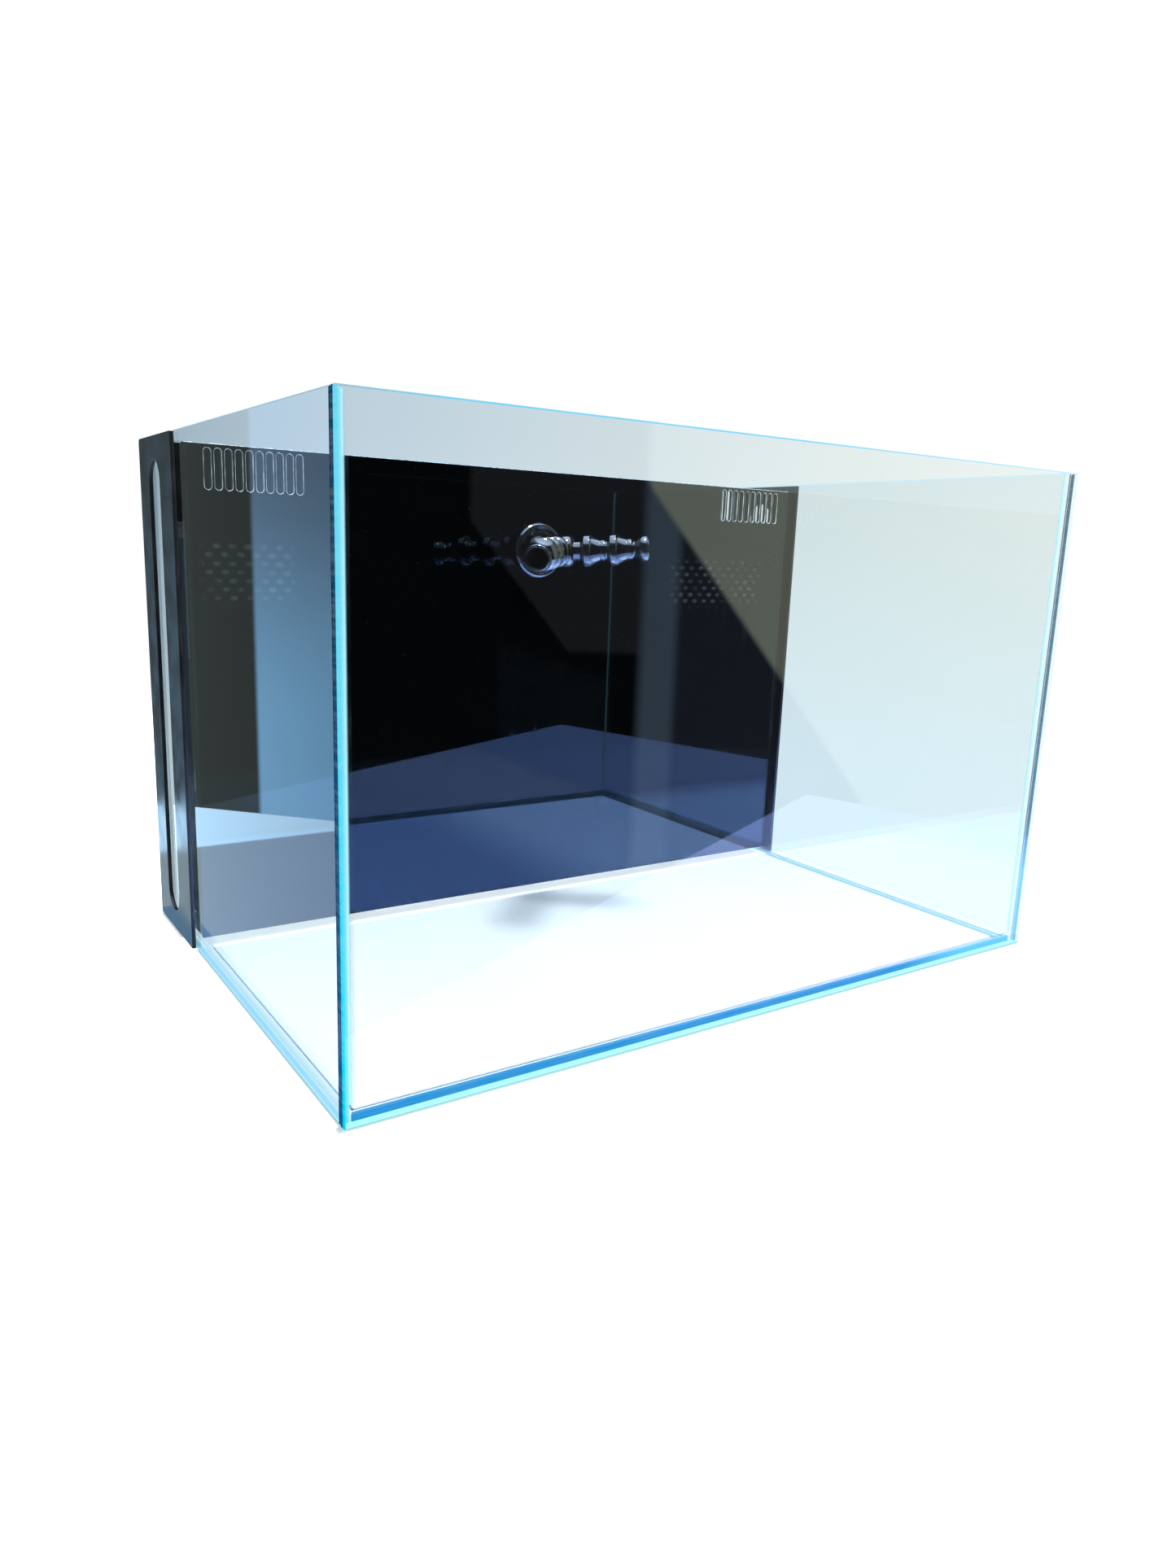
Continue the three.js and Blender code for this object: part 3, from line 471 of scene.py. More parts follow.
def plate(outline, holes, thickness, edge, steps):
    """A sheet in local XY, from Z 0 up to its thickness, whose faces meet its edges in a rounded arris."""
    bm = bmesh.new()
    angles = [math.radians(90 * i / steps) for i in range(steps + 1)]
    levels = [(edge * (1 - math.cos(a)), edge * (1 - math.sin(a))) for a in angles]
    levels += [(thickness - depth, inset) for depth, inset in reversed(levels)]
    caps = [[], []]
    for look, loop in [(EDGE, outline)] + [(HOLE_WALL, hole) for hole in holes]:
        rings = [[bm.verts.new((u, v, depth)) for u, v in loop(inset)] for depth, inset in levels]
        for level, (below, above) in enumerate(zip(rings, rings[1:])):
            for i in range(len(below)):
                face = bm.faces.new((below[i - 1], below[i], above[i], above[i - 1]))
                face.smooth = True
                face.material_index = look if level == steps else ARRIS
        for cap, ring in zip(caps, (rings[0], rings[-1])):
            cap += [bm.edges.get((ring[i - 1], ring[i])) for i in range(len(ring))]
    for cap in caps:
        bmesh.ops.triangle_fill(bm, edges=cap, use_beauty=True)
    bmesh.ops.recalc_face_normals(bm, faces=bm.faces)
    return bm


def sheet_axes(node):
    """A sheet's two long axes, its thickness and the matrix from (along, up, through) to the row frame."""
    low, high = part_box(node)
    size = high - low
    thin = min(range(3), key=lambda axis: size[axis])
    along, up = [axis for axis in range(3) if axis != thin]
    basis = Matrix.Identity(3)
    through = basis[along].cross(basis[up])
    origin = Vector((0, 0, 0))
    origin[thin] = low[thin] if through[thin] > 0 else high[thin]
    turn = Matrix((basis[along], basis[up], through)).transposed().to_4x4()
    flat_low, flat_high = (low[along], low[up]), (high[along], high[up])
    return flat_low, flat_high, size[thin], Matrix.Translation(origin) @ turn


def add_sheet(name, node, looks, corners, holes=(), edge=SHEET_EDGE, steps=3):
    """A sheet in a CAD node's place. Its looks are in the order of the material slots."""
    low, high, thickness, place = sheet_axes(node)
    outline = rectangle(low, high, [corner * MM for corner in corners])
    bm = plate(outline, holes, thickness, edge * MM, steps)
    bm.transform(place)
    return stands_for(add_piece(name, bm, looks), node)


def soften(profile, radius, steps=3, turn=25):
    """A closed profile with each corner that turns more than the given degrees rounded off."""
    points = [Vector(point) for point in profile]
    softened = []
    for i, corner in enumerate(points):
        before, after = points[i - 1] - corner, points[(i + 1) % len(points)] - corner
        on_axis = corner.x < 1e-6
        if on_axis or before.length < 1e-6 or after.length < 1e-6 or math.degrees(
                math.pi - before.angle(after)) < turn:
            softened.append(corner)
            continue
        reach = min(radius, 0.45 * before.length, 0.45 * after.length)
        start, end = corner + before.normalized() * reach, corner + after.normalized() * reach
        for step in range(steps + 1):
            share = step / steps
            softened.append(start.lerp(corner, share).lerp(corner.lerp(end, share), share))
    return [(point.x, point.y) for point in softened]


def lathe(profile, sides=72):
    """A closed profile of (radius, height), in millimetres, turned about local Z."""
    bm = bmesh.new()
    hollow = min(radius for radius, _ in profile) > 1e-6
    points = [bm.verts.new((radius * MM, 0, height * MM)) for radius, height in profile]
    pairs = list(zip(points, points[1:] + points[:1])) if hollow else list(zip(points, points[1:]))
    edges = [bm.edges.new(pair) for pair in pairs]
    bmesh.ops.spin(bm, geom=points + edges, axis=(0, 0, 1), cent=(0, 0, 0), angle=2 * math.pi, steps=sides,
                   use_merge=True)
    bmesh.ops.remove_doubles(bm, verts=bm.verts, dist=1e-7)
    bmesh.ops.recalc_face_normals(bm, faces=bm.faces)
    smooth_faces(bm)
    return bm


def aim(start, along):
    """Matrix that puts the origin at start and local Z along a direction."""
    return Matrix.Translation(start) @ along.to_track_quat("Z", "Y").to_matrix().to_4x4()


def axis_of(node, start):
    """The direction of a turned CAD piece from its joint: its vertices balance about its axis."""
    points = {tuple(round(value, 6) for value in vertex.co) for vertex in frame["nodes"][node].data.vertices}
    middle = sum((Vector(point) for point in points), Vector()) / len(points)
    return (middle - start).normalized()


def boolean(target, tools, operation):
    """Joins or cuts the target object with the tools, which are used up."""
    for tool in tools:
        modifier = target.modifiers.new("boolean", "BOOLEAN")
        modifier.operation = operation
        modifier.solver = "EXACT"
        modifier.object = tool
        settle(target)
        bpy.data.objects.remove(tool)


def settle(piece):
    """Applies a piece's modifiers."""
    graph = bpy.context.evaluated_depsgraph_get()
    mesh = bpy.data.meshes.new_from_object(piece.evaluated_get(graph))
    piece.modifiers.clear()
    piece.data = mesh


def refined(name, node, look, edge, crisp=35):
    """A CAD node with its flat stretches made whole, its edges rounded and its curves shaded smoothly."""
    bm = bmesh.new()
    bm.from_mesh(frame["nodes"][node].data)
    bmesh.ops.remove_doubles(bm, verts=bm.verts, dist=1e-6)
    bmesh.ops.dissolve_limit(bm, angle_limit=math.radians(1), verts=bm.verts, edges=bm.edges)
    sharp = [e for e in bm.edges if e.is_manifold and e.calc_face_angle() > math.radians(crisp)]
    bmesh.ops.bevel(bm, geom=sharp, offset=edge * MM, offset_type="OFFSET", segments=2, profile=0.5,
                    affect="EDGES", clamp_overlap=True)
    bmesh.ops.recalc_face_normals(bm, faces=bm.faces)
    smooth_faces(bm)
    for face in bm.faces:
        face.material_index = 0
    return stands_for(add_piece(name, bm, [look]), node)


# ---- glass ----

# Which cut edge shows which painted glow, by the side of the pane it faces.
PANE_EDGES = {
    "front_pane": {"-x": "edge_corner", "+x": "edge_far", "-z": "edge_foot", "+z": "edge_top"},
    "rear_pane": {"-x": "edge_teal", "+x": "edge_teal", "-z": "edge_foot", "+z": "edge_top"},
    "left_pane": {"-y": "edge_left", "+y": "edge_teal", "-z": "edge_foot_left", "+z": "edge_top"},
    "right_pane": {"-y": "edge_right", "+y": "edge_teal", "-z": "edge_foot", "+z": "edge_top"},
    "base_pane": {"-y": "edge_deep", "+y": "edge_teal", "-x": "edge_pale", "+x": "edge_pale"},
}


def facing(normal):
    """The axis and side that a normal mostly points along, such as -x."""
    axis = max(range(3), key=lambda i: abs(normal[i]))
    return ("+" if normal[axis] > 0 else "-") + "xyz"[axis]


def add_glass():
    for node, edges in PANE_EDGES.items():
        looks = ["glass", *sorted(set(edges.values())), "edge_line"]
        low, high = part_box(node)
        through = min(range(3), key=lambda axis: high[axis] - low[axis])
        corner = GLASS_CHAMFER + 0.1
        piece = add_sheet(f"{node}_polished", node, looks, [corner] * 4, edge=GLASS_CHAMFER, steps=1)
        for face in piece.data.polygons:
            if face.material_index == FACE:
                continue
            flat = Vector(face.normal)
            flat[through] = 0
            side = facing(flat)
            outward = face.normal[through] * (low + high)[through] > 0
            under = face.material_index == ARRIS and outward and side == "-z"
            face.material_index = looks.index("edge_line" if under else edges[side])


# ---- silicone ----

def cove(steps=6):
    """Section of a fillet in a corner at the origin: two legs and a hollow face."""
    leg = BEAD * MM
    return [(0, 0)] + [(leg - leg * math.sin(a), leg - leg * math.cos(a)) for a in (
        math.radians(90 * (1 - i / steps)) for i in range(steps + 1))][::-1]


def add_corner_bead(node, to_x, to_y):
    """An upright fillet: a cove section whose corner is the bead's own corner against the glass."""
    low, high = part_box(node)
    corner = Vector((low.x if to_x > 0 else high.x, low.y if to_y > 0 else high.y))
    bm = bmesh.new()
    rings = [[bm.verts.new((corner.x + to_x * u, corner.y + to_y * v, z)) for u, v in cove()]
             for z in (low.z, high.z)]
    close_tube(bm, rings)
    stands_for(add_piece(f"{node}_smooth", bm, ["silicone"]), node)


def close_tube(bm, rings, capped=True):
    """Skins between rings of equal length, and caps the two ends."""
    for below, above in zip(rings, rings[1:]):
        for i in range(len(below)):
            bm.faces.new((below[i - 1], below[i], above[i], above[i - 1])).smooth = True
    if capped:
        bm.faces.new(rings[0])
        bm.faces.new(rings[-1])
    bmesh.ops.recalc_face_normals(bm, faces=bm.faces)


def add_foot_bead(node):
    """The fillet along the foot of the four walls, mitred at the corners."""
    low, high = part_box(node)
    corners = [(low.x, low.y, 1, 1), (high.x, low.y, -1, 1), (high.x, high.y, -1, -1), (low.x, high.y, 1, -1)]
    bm = bmesh.new()
    rings = [[bm.verts.new((x + to_x * u, y + to_y * u, low.z + v)) for u, v in cove()]
             for x, y, to_x, to_y in corners]
    close_tube(bm, rings + rings[:1], capped=False)
    stands_for(add_piece(f"{node}_smooth", bm, ["silicone"]), node)


def add_sealant():
    for side, inward in zip(SIDES, (1, -1)):
        add_corner_bead(f"front_{side}_bead", inward, 1)
        add_corner_bead(f"rear_{side}_bead", inward, -1)
        add_corner_bead(f"baffle_{side}_bead", inward, -1)
    add_foot_bead("display_foot_bead")


# ---- black sheets ----

def add_covers():
    looks = ["cover", "cover_cut", "cover_cut", "cover_cut"]
    square = SHEET_EDGE + 0.1
    for side in SIDES:
        node = f"{side}_side_cover"
        across = sheet_axes(node)[0][0] + WINDOW_SETBACK * MM
        window = long_hole(across, WINDOW_LOW * MM, WINDOW_HIGH * MM, WINDOW_WIDTH * MM, 16)
        corners = [square, COVER_CORNER, COVER_CORNER, square]
        add_sheet(f"{node}_sheet", node, looks, corners, [window])
    add_sheet("rear_cover_sheet", "rear_cover", looks, [square] * 4)


def add_walls():
    """The baffle wall and the two dividers. Their top edges and the front rims of the wall's holes are pale,
    partly where the saw left them rough and partly as a painted highlight. All other rims stay black."""
    square = SHEET_EDGE + 0.1
    holes = [long_hole(0, (RETURN_HEIGHT - RETURN_HOLE) * MM, (RETURN_HEIGHT + RETURN_HOLE) * MM,
                       2 * RETURN_HOLE * MM, 24)]
    for side in (-1, 1):
        for i in range(COMB_SLOTS):
            across = side * COMB_CENTRE + (i - (COMB_SLOTS - 1) / 2) * COMB_PITCH
            holes.append(long_hole(across * MM, COMB_LOW * MM, COMB_HIGH * MM, COMB_SLOT * MM, 8))
    looks = ["acrylic", "cover_cut", "cover_cut", "acrylic_cut"]
    pieces = [add_sheet("baffle_wall_mirror", "baffle_wall", looks, [square] * 4, holes)]
    for side in SIDES:
        pieces.append(add_sheet(f"{side}_divider_sheet", f"{side}_divider", looks, [square] * 4))
    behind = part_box("baffle_wall")[0].y + SHEET_EDGE * MM
    for piece in pieces:
        for face in piece.data.polygons:
            if face.material_index == EDGE and face.normal.z > 0.5:
                face.material_index = ARRIS
            elif face.material_index == ARRIS:
                sideways = abs(face.center.x) > (COMB_CENTRE + COMB_REACH) * MM
                if sideways or (piece == pieces[0] and face.center.y > behind):
                    face.material_index = FACE


# ---- return fitting ----

def ball_arc(middle, steps=14):
    """A ball from its neck to its flat end, as (radius, height)."""
    start = -math.acos(NECK / BALL)
    end = math.asin(BALL_CUT / BALL)
    angles = [start + (end - start) * i / steps for i in range(steps + 1)]
    return [(BALL * math.cos(a), middle + BALL * math.sin(a)) for a in angles]


def socket_arc(steps=14):
    """The inside of a socket, from its waterway out to its lip."""
    start, end = math.acos(BORE / SOCKET), -math.asin(LIP / SOCKET)
    angles = [start + (end - start) * i / steps for i in range(steps + 1)]
    return [(SOCKET * math.cos(a), SOCKET * math.sin(a)) for a in angles]


def cup_profile():
    """Outside of a socket: a rolled lip, a straight band, a small step, a hollow taper and a collar."""
    taper = []
    for i in range(1, 7):
        share = i / 6
        sag = 0.45 * math.sin(math.pi * share)
        taper.append((CUP - 0.5 + (COLLAR - 0.3 - CUP + 0.5) * share - sag,
                      BAND_END + 0.5 + (TAPER_END - BAND_END - 0.9) * share))
    return [(CUP - 0.7, -LIP), (CUP, -LIP + 0.8), (CUP, BAND_END), (CUP - 0.5, BAND_END + 0.4), *taper,
            (COLLAR, TAPER_END), (COLLAR, COLLAR_END)]


def link_profile():
    return soften([*cup_profile(), (NECK, COLLAR_END + 0.6), *ball_arc(PITCH), (BORE, PITCH + BALL_CUT),
                   *socket_arc()], 0.35)


def nozzle_profile():
    waist = COLLAR_END + 1.9
    swell = []
    for i in range(13):
        share = i / 12
        ease = math.sin(math.pi / 2 * share) ** 1.5
        swell.append((WAIST + (FLARE - WAIST) * ease, waist + (NOZZLE_LENGTH - 3.4 - waist) * share))
    lip = [(FLARE, NOZZLE_LENGTH - 2.2), (FLARE - 0.3, NOZZLE_LENGTH - 0.9), (MOUTH, NOZZLE_LENGTH)]
    inside = [(MOUTH_BORE, NOZZLE_LENGTH - 0.2), (MOUTH_BORE - 0.5, NOZZLE_LENGTH - 4), (BORE, waist + 3)]
    outside = [*cup_profile(), (COLLAR - 0.5, COLLAR_END + 0.5), *swell, *lip]
    return soften([*outside, *inside, *socket_arc()], 0.35)


def bulkhead_profile():
    rim, dish, boss = FLANGE - 3.4, FLANGE_FRONT - 1.9, SHANK_BORE + 2.4
    return soften([
        (SHANK_BORE, SHANK_END), (SHANK, SHANK_END), (SHANK, FLANGE_BACK), (FLANGE, FLANGE_BACK),
        (FLANGE, FLANGE_FRONT - 2), (FLANGE - 1.7, FLANGE_FRONT), (rim, FLANGE_FRONT), (rim - 1.4, dish),
        (boss, dish), (boss - 0.6, FLANGE_FRONT), (SHANK_BORE, FLANGE_FRONT)], 0.7, 4)


def adapter_profile():
    collar = FLANGE_FRONT + 0.3
    return soften([
        (BORE, -6), (SHANK_BORE - 0.3, -6), (SHANK_BORE - 0.3, collar), (SHANK_BORE + 1.4, collar),
        (SHANK_BORE + 1.4, collar + 2.6), (NECK, collar + 3.4), *ball_arc(FIRST_BALL),
        (BORE, FIRST_BALL + BALL_CUT)], 0.4)


def add_turned(name, node, profile, look, start, along):
    bm = lathe(profile)
    bm.transform(aim(start, along))
    return stands_for(add_piece(name, bm, [look]), node)


def branch_profile():
    """A fork's branch: as thick as a cup, then rounded in to a neck and a ball."""
    rounding = [(NECK + (CUP - NECK) * math.cos(a), SHOULDER + 6.2 * math.sin(a)) for a in (
        math.radians(90 * i / 8) for i in range(9))]
    return [(0, 0), (CUP, 0), *rounding, *ball_arc(BRANCH), (0, BRANCH + BALL_CUT)]


def add_fork():
    """The splitter: a thick cup with a round knuckle, two thick branches with balls, and its waterways."""
    start = JOINT_AT["y_splitter"]
    ends = [JOINT_AT[f"{side}_link"] for side in SIDES]
    along = ((ends[0] + ends[1]) / 2 - start).normalized()
    across = (ends[1] - ends[0]).normalized()
    stand = Matrix.Translation(start) @ Matrix((across, along.cross(across), along)).transposed().to_4x4()
    knuckle = arc((0, HUB), CUP, -90, 24, 180)
    hub = soften([(0, -LIP), (CUP, -LIP), (CUP, HUB - 1), (0, HUB)], 0.7)
    body = add_piece("y_splitter_moulded", lathe(hub), ["fitting"])
    parts = [add_piece("knuckle", lathe(knuckle), ["fitting"])]
    mouth = [(0, -LIP - 2), (SOCKET - 0.4, -LIP - 2), *socket_arc()[::-1], (BORE, HUB), (0, HUB)]
    tools = [add_piece("socket", lathe(mouth), ["fitting"])]
    waterway = [(0, 0), (BORE, 0), (BORE, WATERWAY_END), (0, WATERWAY_END)]
    for sign in (-1, 1):
        lean = Matrix.Rotation(math.radians(sign * BRANCH_ANGLE), 4, "Y")
        turn = Matrix.Translation((0, 0, HUB * MM)) @ lean
        for group, profile in ((parts, branch_profile()), (tools, waterway)):
            bm = lathe(profile)
            bm.transform(turn)
            group.append(add_piece("branch", bm, ["fitting"]))
    boolean(body, parts, "UNION")
    boolean(body, tools, "DIFFERENCE")
    bm = bmesh.new()
    bm.from_mesh(body.data)
    bpy.data.objects.remove(body)
    bmesh.ops.remove_doubles(bm, verts=bm.verts, dist=2e-6)
    bm.transform(stand)
    smooth_faces(bm)
    stands_for(add_piece("y_splitter_moulded", bm, ["fitting"], 28), "y_splitter")


def add_return():
    root = JOINT_AT["ball_adapter"]
    forward = Vector((0, -1, 0))
    add_turned("bulkhead_flange", "bulkhead_body", bulkhead_profile(), "fitting", root, forward)
    add_turned("ball_adapter_turned", "ball_adapter", adapter_profile(), "fitting", root, forward)
    gasket = soften([(SHANK + 0.3, 0.3), (FLANGE - 3, 0.3), (FLANGE - 3, 1.8), (SHANK + 0.3, 1.8)], 0.4)
    add_turned("bulkhead_gasket_ring", "bulkhead_gasket", gasket, "rubber", root, forward)
    add_fork()
    for side in SIDES:
        for kind, profile in (("link", link_profile()), ("nozzle", nozzle_profile())):
            node = f"{side}_{kind}"
            start = JOINT_AT[node]
            add_turned(f"{node}_turned", node, profile, "fitting", start, axis_of(node, start))


# ---- what stands behind the baffle ----

REFINED = {
    "bulkhead_nut": ("fitting", 0.8), "return_elbow": ("fitting", 0.4),
    "upper_hose_clamp": ("steel", 0.25), "lower_hose_clamp": ("steel", 0.25),
    "pump_head": ("pump", 0.6), "motor_housing": ("pump", 1.2), "intake_strainer": ("pump", 0.4),
    "flow_ring": ("pump", 0.3), "impeller": ("pump", 0.25), "magnet_rotor": ("magnet", 0.4),
    "rotor_shaft": ("ceramic_rod", 0.3), "rear_bush": ("rubber", 0.3), "front_bush": ("rubber", 0.3),
    "cord_gland": ("rubber", 0.5),
    **{f"{place}_suction_foot": ("rubber", 0.3) for place in ("outer_front", "outer_rear", "inner_front",
                                                              "inner_rear")},
    **{f"{side}_media_basket": ("basket", 0.7) for side in SIDES},
    "return_hose": ("hose", 0.5),
}


def add_hidden_parts():
    for node, (look, edge) in REFINED.items():
        refined(f"{node}_finished", node, look, edge)


RING, RING_BORE, RING_LENGTH = 6.2, 3.4, 12.5  # radii and length of a ceramic ring
RING_SPACING = 12.4
PAD_STEP, PAD_CORNER = 3.2, 4                  # cells of a pad's skin, and the rounding of its edges


def add_media(side, seed):
    """The outer layer of a loose fill of short ceramic rings, inside the basket."""
    node = f"{side}_ceramic_media"
    low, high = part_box(node)
    rng = random.Random(seed)
    half = RING_LENGTH / 2
    profile = soften([(RING_BORE, -half), (RING, -half), (RING, half), (RING_BORE, half)], 0.8, 2)
    ring_mesh = bpy.data.meshes.new("ring")
    ring_bm = lathe(profile, 14)
    ring_bm.to_mesh(ring_mesh)
    ring_bm.free()
    reach = math.hypot(RING, half) * MM
    room = [high[i] - low[i] - 2 * reach for i in range(3)]
    counts = [max(1, int(room[i] / (RING_SPACING * MM)) + 1) for i in range(3)]
    bm = bmesh.new()
    for cell in product(*(range(count) for count in counts)):
        if not any(cell[i] in (0, counts[i] - 1) for i in range(3)):
            continue
        place = Vector([low[i] + reach + room[i] * cell[i] / max(counts[i] - 1, 1) for i in range(3)])
        angle = rng.uniform(0, math.pi)
        tumble = Matrix.Rotation(angle, 4, Vector([rng.gauss(0, 1) for _ in range(3)]))
        before = len(bm.verts)
        bm.from_mesh(ring_mesh)
        bm.verts.ensure_lookup_table()
        bmesh.ops.transform(bm, matrix=Matrix.Translation(place) @ tumble, verts=bm.verts[before:])
    smooth_faces(bm)
    stands_for(add_piece(f"{side}_ceramic_rings", bm, ["ceramic_media"]), node)
    bpy.data.meshes.remove(ring_mesh)


def add_pad(node, name, look, swell, seed):
    """A foam or fibre pad: a finely divided block with rounded edges and an uneven skin."""
    low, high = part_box(node)
    size = high - low
    rng = random.Random(seed)
    wave = [rng.uniform(0, 2 * math.pi) for _ in range(6)]
    bm = bmesh.new()
    bmesh.ops.create_cube(bm, size=1)
    cuts = [max(2, round(size[i] / (PAD_STEP * MM))) for i in range(3)]
    for axis in range(3):
        for cut_at in range(1, cuts[axis]):
            normal = Vector([1 if i == axis else 0 for i in range(3)])
            bmesh.ops.bisect_plane(bm, geom=bm.verts[:] + bm.edges[:] + bm.faces[:],
                                   plane_co=normal * (cut_at / cuts[axis] - 0.5), plane_no=normal)
    corner = PAD_CORNER * MM
    middle = (low + high) / 2
    for vertex in bm.verts:
        point = Vector([vertex.co[i] * size[i] for i in range(3)])
        inner = Vector([max(-size[i] / 2 + corner, min(size[i] / 2 - corner, point[i])) for i in range(3)])
        out = point - inner
        if out.length > 1e-9:
            ripple = sum(math.sin(point[i % 3] * (900 + 260 * i) + wave[i]) for i in range(6)) / 6
            sunk = swell * MM * (0.5 + 0.5 * ripple) + swell * MM * 0.6 * rng.random()
            out = out.normalized() * (corner - sunk)
        vertex.co = middle + inner + out
    smooth_faces(bm)
    piece = stands_for(add_piece(name, bm, [look], 180), node)


def add_baskets():
    for number, side in enumerate(SIDES):
        add_media(side, 11 + number)
        add_pad(f"{side}_coarse_sponge", f"{side}_sponge_block", "foam", 0.5, 21 + number)
        add_pad(f"{side}_floss_pad", f"{side}_floss_fibre", "floss", 0.9, 31 + number)


# ---- stage ----

def add_camera():
    yaw, pitch, roll = (math.radians(a) for a in (CAMERA_YAW, CAMERA_PITCH, CAMERA_ROLL))
    ahead = Vector((math.sin(yaw) * math.cos(pitch), math.cos(yaw) * math.cos(pitch), math.sin(pitch)))
    level = Vector((math.cos(yaw), -math.sin(yaw), 0))
    upright = level.cross(ahead)
    right = level * math.cos(roll) + upright * math.sin(roll)
    data = bpy.data.cameras.new("camera")
    data.lens = CAMERA_LENS
    data.clip_start = 0.01
    camera = bpy.data.objects.new("camera", data)
    basis = Matrix((right, right.cross(ahead), -ahead)).transposed().to_4x4()
    camera.matrix_world = Matrix.Translation(CAMERA_AT) @ basis
    link(camera)
    bpy.context.scene.camera = camera


def add_lamp(name, place, target, size, power):
    data = bpy.data.lights.new(name, "AREA")
    data.shape = "DISK"
    data.size = size
    data.energy = power
    lamp = bpy.data.objects.new(name, data)
    lamp.matrix_world = aim(Vector(place), Vector(place) - Vector(target))
    link(lamp)


# Spans of the backdrop are bearings in degrees, from +Y towards +X. A rise is the Z of a unit direction.
THROUGH_GLASS = (0.93, 1.04, 1.10, 1)  # the backdrop and floor as seen through the panes
ROOM_LEFT, ROOM_RIGHT, ROOM_TURN = (0.54, 0.67, 0.78, 1), (0.95, 0.96, 0.92, 1), (14, 56)
SKY = (0.95, 0.95, 0.95, 1)
DARK, DIM, GREY = (0.005, 0.006, 0.007, 1), (0.10, 0.125, 0.12, 1), (0.065, 0.068, 0.074, 1)
LEFT_SPAN, RIGHT_SPAN, CEILING_SPAN = (-110, 8), (100, 143.6), (100, 152.6)
LIGHT_SPAN, LIGHT_LOW, LIGHT_HIGH = (-70, -16.6), (0.55, 1.2, 1.9, 1), (0.30, 0.48, 0.72, 1)
LIT_SIDE, OVERHEAD = (0.88, 0.95, 0.76, 1), (3.0, 3.7, 5.0, 1)
UNDER_SILL, DOORWAY, DOORWAY_SPAN = (0.06, 0.07, 0.10, 1), (0.25, 0.34, 0.46, 1), (141, 141.7)
SILL_BEARING, SILL_AT, SILL_SLOPE = 138.5, -0.045, 1.3     # lower edge of the lit side; slopes are a radian
BEAM_BEARING, BEAM_SLOPE, BEAM_LOW = 151.3, 1.25, -0.092   # lower edge of the grey ceiling


def sector(tree, bearing, span, fade):
    return band(tree, bearing, math.radians(span[0]), math.radians(span[1]), math.radians(fade))


def room_through_glass(tree, bearing, rise):
    """A pale grey room above, which melts into the white floor below."""
    turn = map_range(tree, bearing, *[math.radians(a) for a in ROOM_TURN], smooth=False)
    upper = mix_colour(tree, turn, ROOM_LEFT, ROOM_RIGHT)
    return mix_colour(tree, map_range(tree, rise, -0.22, 0.12), THROUGH_GLASS, upper)


def dark_studio(tree, bearing, rise):
    """What shining things mirror: a bright left light, a grey ceiling and a lit right side in a dark room."""
    sill = times(tree, bearing, SILL_SLOPE)
    sill = maths(tree, "ADD", sill, SILL_AT - SILL_SLOPE * math.radians(SILL_BEARING))
    above_sill = map_range(tree, maths(tree, "SUBTRACT", rise, sill), -0.006, 0.006)
    below = mix_colour(tree, map_range(tree, bearing, *[math.radians(a) for a in DOORWAY_SPAN]),
                       UNDER_SILL, DOORWAY)
    beam = maths(tree, "SUBTRACT", bearing, math.radians(BEAM_BEARING))
    beam = maths(tree, "MAXIMUM", times(tree, beam, BEAM_SLOPE), BEAM_LOW)
    above_beam = map_range(tree, maths(tree, "SUBTRACT", rise, beam), -0.004, 0.004)
    ceiling = times(tree, above_beam, sector(tree, bearing, CEILING_SPAN, 0.5))
    light = mix_colour(tree, map_range(tree, rise, -0.17, 0.08), LIGHT_LOW, LIGHT_HIGH)
    shine = mix_colour(tree, sector(tree, bearing, LEFT_SPAN, 3), DARK, DIM)
    shine = mix_colour(tree, sector(tree, bearing, LIGHT_SPAN, 0.3), shine, light)
    shine = mix_colour(tree, ceiling, shine, GREY)
    side = mix_colour(tree, above_sill, below, LIT_SIDE)
    shine = mix_colour(tree, sector(tree, bearing, RIGHT_SPAN, 0.8), shine, side)
    return mix_colour(tree, map_range(tree, rise, 0.70, 0.84), shine, OVERHEAD)


def seen_through_glass(tree, rays):
    """1 where a ray has passed both faces of a pane."""
    return maths(tree, "GREATER_THAN", rays["Transparent Depth"], 1.5)


def add_world():
    """White where the camera looks past the tank, a pale grey room where it looks through the glass, an even
    sky for the light on things, and a dark studio for what shines."""
    world = bpy.data.worlds.new("studio")
    world.use_nodes = True
    tree = world.node_tree
    bpy.context.scene.world = world
    parts = apart(tree, add_node(tree, "ShaderNodeTexCoord").outputs["Generated"])
    bearing = maths(tree, "ARCTAN2", parts["X"], parts["Y"])
    rays = rays_of(tree)
    room = room_through_glass(tree, bearing, parts["Z"])
    seen = mix_colour(tree, seen_through_glass(tree, rays), (1, 1, 1, 1), room)
    sky = mix_colour(tree, rays["Is Glossy Ray"], SKY, dark_studio(tree, bearing, parts["Z"]))
    shown = mix_colour(tree, rays["Is Camera Ray"], sky, seen)
    feed(tree.nodes["Background"], {"Color": shown, "Strength": 1.0})


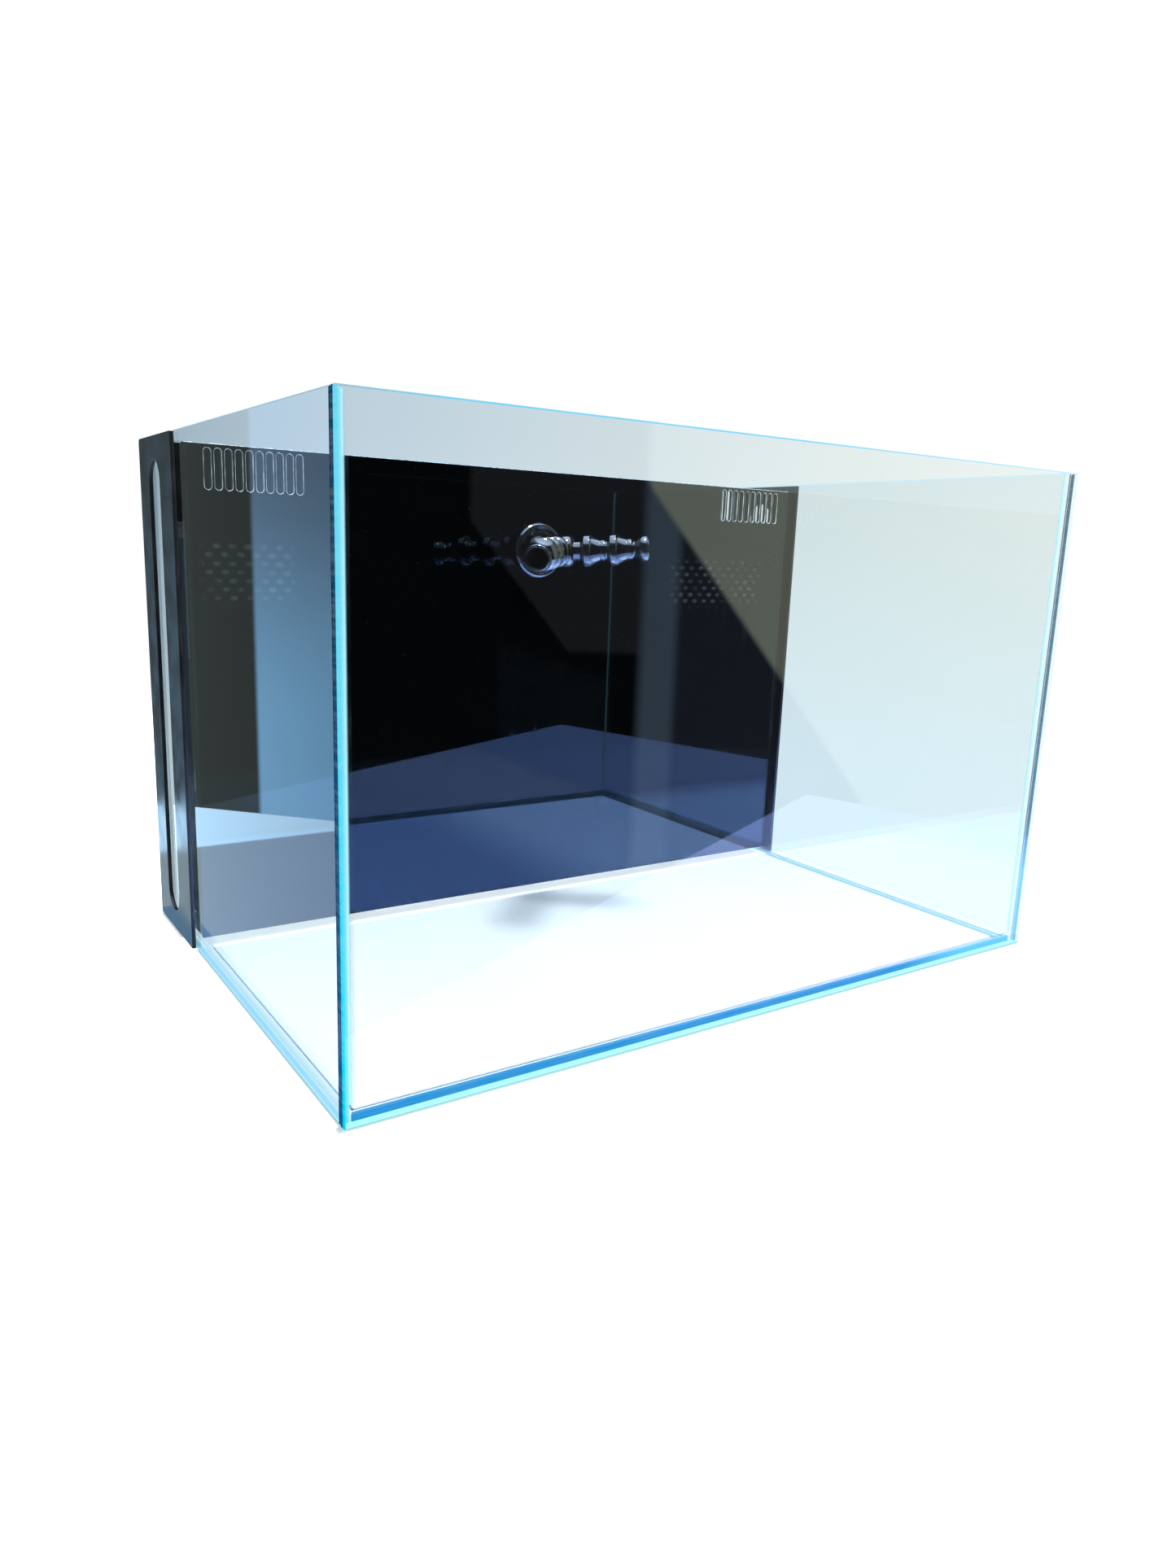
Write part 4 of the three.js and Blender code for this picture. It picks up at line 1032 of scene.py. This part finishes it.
# The floor, in metres. What shines mirrors it as a lit table with three edges, each given by a point and the
# edge's outward direction.
TABLE_CORNER = (0.551, -0.702)
TABLE_FRONT, TABLE_SIDE = (-0.437, -0.899), (0.957, -0.290)
TABLE_REAR, TABLE_REAR_AT = (-0.737, 0.675), (-0.48, 0.492)
# Painted light and shade of the mirrored table: a bright pool under the display, painted shade beside the tank,
# and a painted line for the tank's mirrored foot.
TABLE_LEFT, TABLE_BEYOND, TABLE_FAR = (0.65, 0.88, 1.02, 1), (1.45, 2.3, 3.1, 1), (0.386, 0.396)
TABLE_NEAR, TABLE_RIGHT_NEAR, TABLE_RIGHT = (1.2, 1.44, 2.7, 1), (0.95, 1.3, 2.8, 1), (1.6, 2.45, 5.0, 1)
POOL_LEFT, POOL_RIGHT, SEAM = (2.0, 3.0, 6.9, 1), (4.1, 5.6, 10.2, 1), (0.1, 0.4, 0.8, 1)
FOOTPRINT = (0.303, 0.203)     # half of the tank's base
DISPLAY_BACK = (0.100, 0.104)
# Painted light lifts the shade on this strip of floor.
UNDER_WALL = (0.100, 0.140)    # shows through the base at the wall's foot
FLOOR_FADE = (1.0, 1.7)        # distance from the middle over which the floor fades out


def edge_mask(tree, parts, point, outward):
    """1 on the outer side of a table edge through the point, whose outward direction is given."""
    along = maths(tree, "ADD", times(tree, parts["X"], outward[0]),
                  times(tree, parts["Y"], outward[1]))
    line = point[0] * outward[0] + point[1] * outward[1]
    return map_range(tree, along, line - 0.002, line + 0.002)


def lit_table(tree, parts, outside):
    """The mirrored table's painted light and shade: bright under the display, painted shade round it, and a thin
    painted line for the mirrored seam between.
    """
    beside = mix_colour(tree, map_range(tree, parts["Y"], *TABLE_FAR), TABLE_LEFT, TABLE_BEYOND)
    near = mix_colour(tree, map_range(tree, parts["X"], -0.15, -0.05), beside, TABLE_NEAR)
    right = mix_colour(tree, map_range(tree, parts["Y"], -0.20, -0.11), TABLE_RIGHT_NEAR, TABLE_RIGHT)
    right = mix_colour(tree, map_range(tree, parts["Y"], 0.05, 0.10), right, TABLE_LEFT)
    near = mix_colour(tree, map_range(tree, parts["X"], 0.296, 0.306), near, right)
    pool = mix_colour(tree, map_range(tree, parts["X"], 0.0, 0.14), POOL_LEFT, POOL_RIGHT)
    in_display = times(tree, map_range(tree, outside, -0.014, -0.010, 1.0, 0.0),
                       map_range(tree, parts["Y"], *DISPLAY_BACK, 1.0, 0.0))
    glow = mix_colour(tree, in_display, near, pool)
    seam = times(tree, band(tree, outside, -0.012, 0.016, 0.002), 0.7)
    return mix_colour(tree, seam, glow, SEAM)


def floor_material():
    material, tree, shader = new_material("floor_white", Base_Color=(0.9, 0.9, 0.9, 1), Roughness=0.9)
    parts = apart(tree, place_of(tree))
    rays = rays_of(tree)
    inset = [maths(tree, "SUBTRACT", half, maths(tree, "ABSOLUTE", parts[axis]))
             for half, axis in zip(FOOTPRINT, "XY")]
    outside = times(tree, maths(tree, "MINIMUM", *inset), -1.0)
    # Painted light: a strip of glow on the floor at the wall's foot lifts the shade that the wall casts there.
    under_wall = times(tree, band(tree, parts["Y"], *UNDER_WALL, 0.008), 1.05)
    # The floor also glows outside the tank's footprint, painted light that washes out the tank's shadow round it.
    lit = maths(tree, "MAXIMUM", map_range(tree, outside, -0.003, 0.006, 0.0, 0.9), under_wall)
    feed(shader, {"Emission Color": (1, 1, 1, 1), "Emission Strength": lit})

    beyond = times(tree, map_range(tree, outside, 0.0, 0.01),
                   times(tree, seen_through_glass(tree, rays), rays["Is Camera Ray"]))
    through = add_node(tree, "ShaderNodeEmission", {0: THROUGH_GLASS}).outputs[0]
    mirrored = add_node(tree, "ShaderNodeEmission", {0: lit_table(tree, parts, outside)}).outputs[0]
    surface = mix_shader(tree, beyond, shader.outputs[0], through)
    surface = mix_shader(tree, rays["Is Glossy Ray"], surface, mirrored)

    near_edges = maths(tree, "MAXIMUM", edge_mask(tree, parts, TABLE_CORNER, TABLE_FRONT),
                       edge_mask(tree, parts, TABLE_CORNER, TABLE_SIDE))
    off_table = maths(tree, "MAXIMUM", near_edges, edge_mask(tree, parts, TABLE_REAR_AT, TABLE_REAR))
    flat = add_node(tree, "ShaderNodeCombineXYZ", {0: parts["X"], 1: parts["Y"]}).outputs[0]
    faded = map_range(tree, length_of(tree, flat), *FLOOR_FADE)
    gone = mix_value(tree, rays["Is Glossy Ray"], faded, off_table)
    clear = add_node(tree, "ShaderNodeBsdfTransparent").outputs[0]
    feed(tree.nodes["Material Output"], {"Surface": mix_shader(tree, gone, surface, clear)})
    return material


def add_floor():
    """A plain white floor that fades into the backdrop."""
    bm = bmesh.new()
    bmesh.ops.create_grid(bm, x_segments=1, y_segments=1, size=FLOOR_FADE[1])
    LOOKS["floor"] = floor_material()
    floor = add_piece("floor", bm, ["floor"])
    floor.location.z = -FLOOR_DROP


bpy.context.scene.view_settings.view_transform = "Standard"
add_camera()
add_world()
add_floor()
add_lamp("key", (0.0, -0.05, 2.2), (0, 0.05, 0.2), 0.3, 66)
add_glass()
add_sealant()
add_covers()
add_walls()
add_return()
add_hidden_parts()
add_baskets()
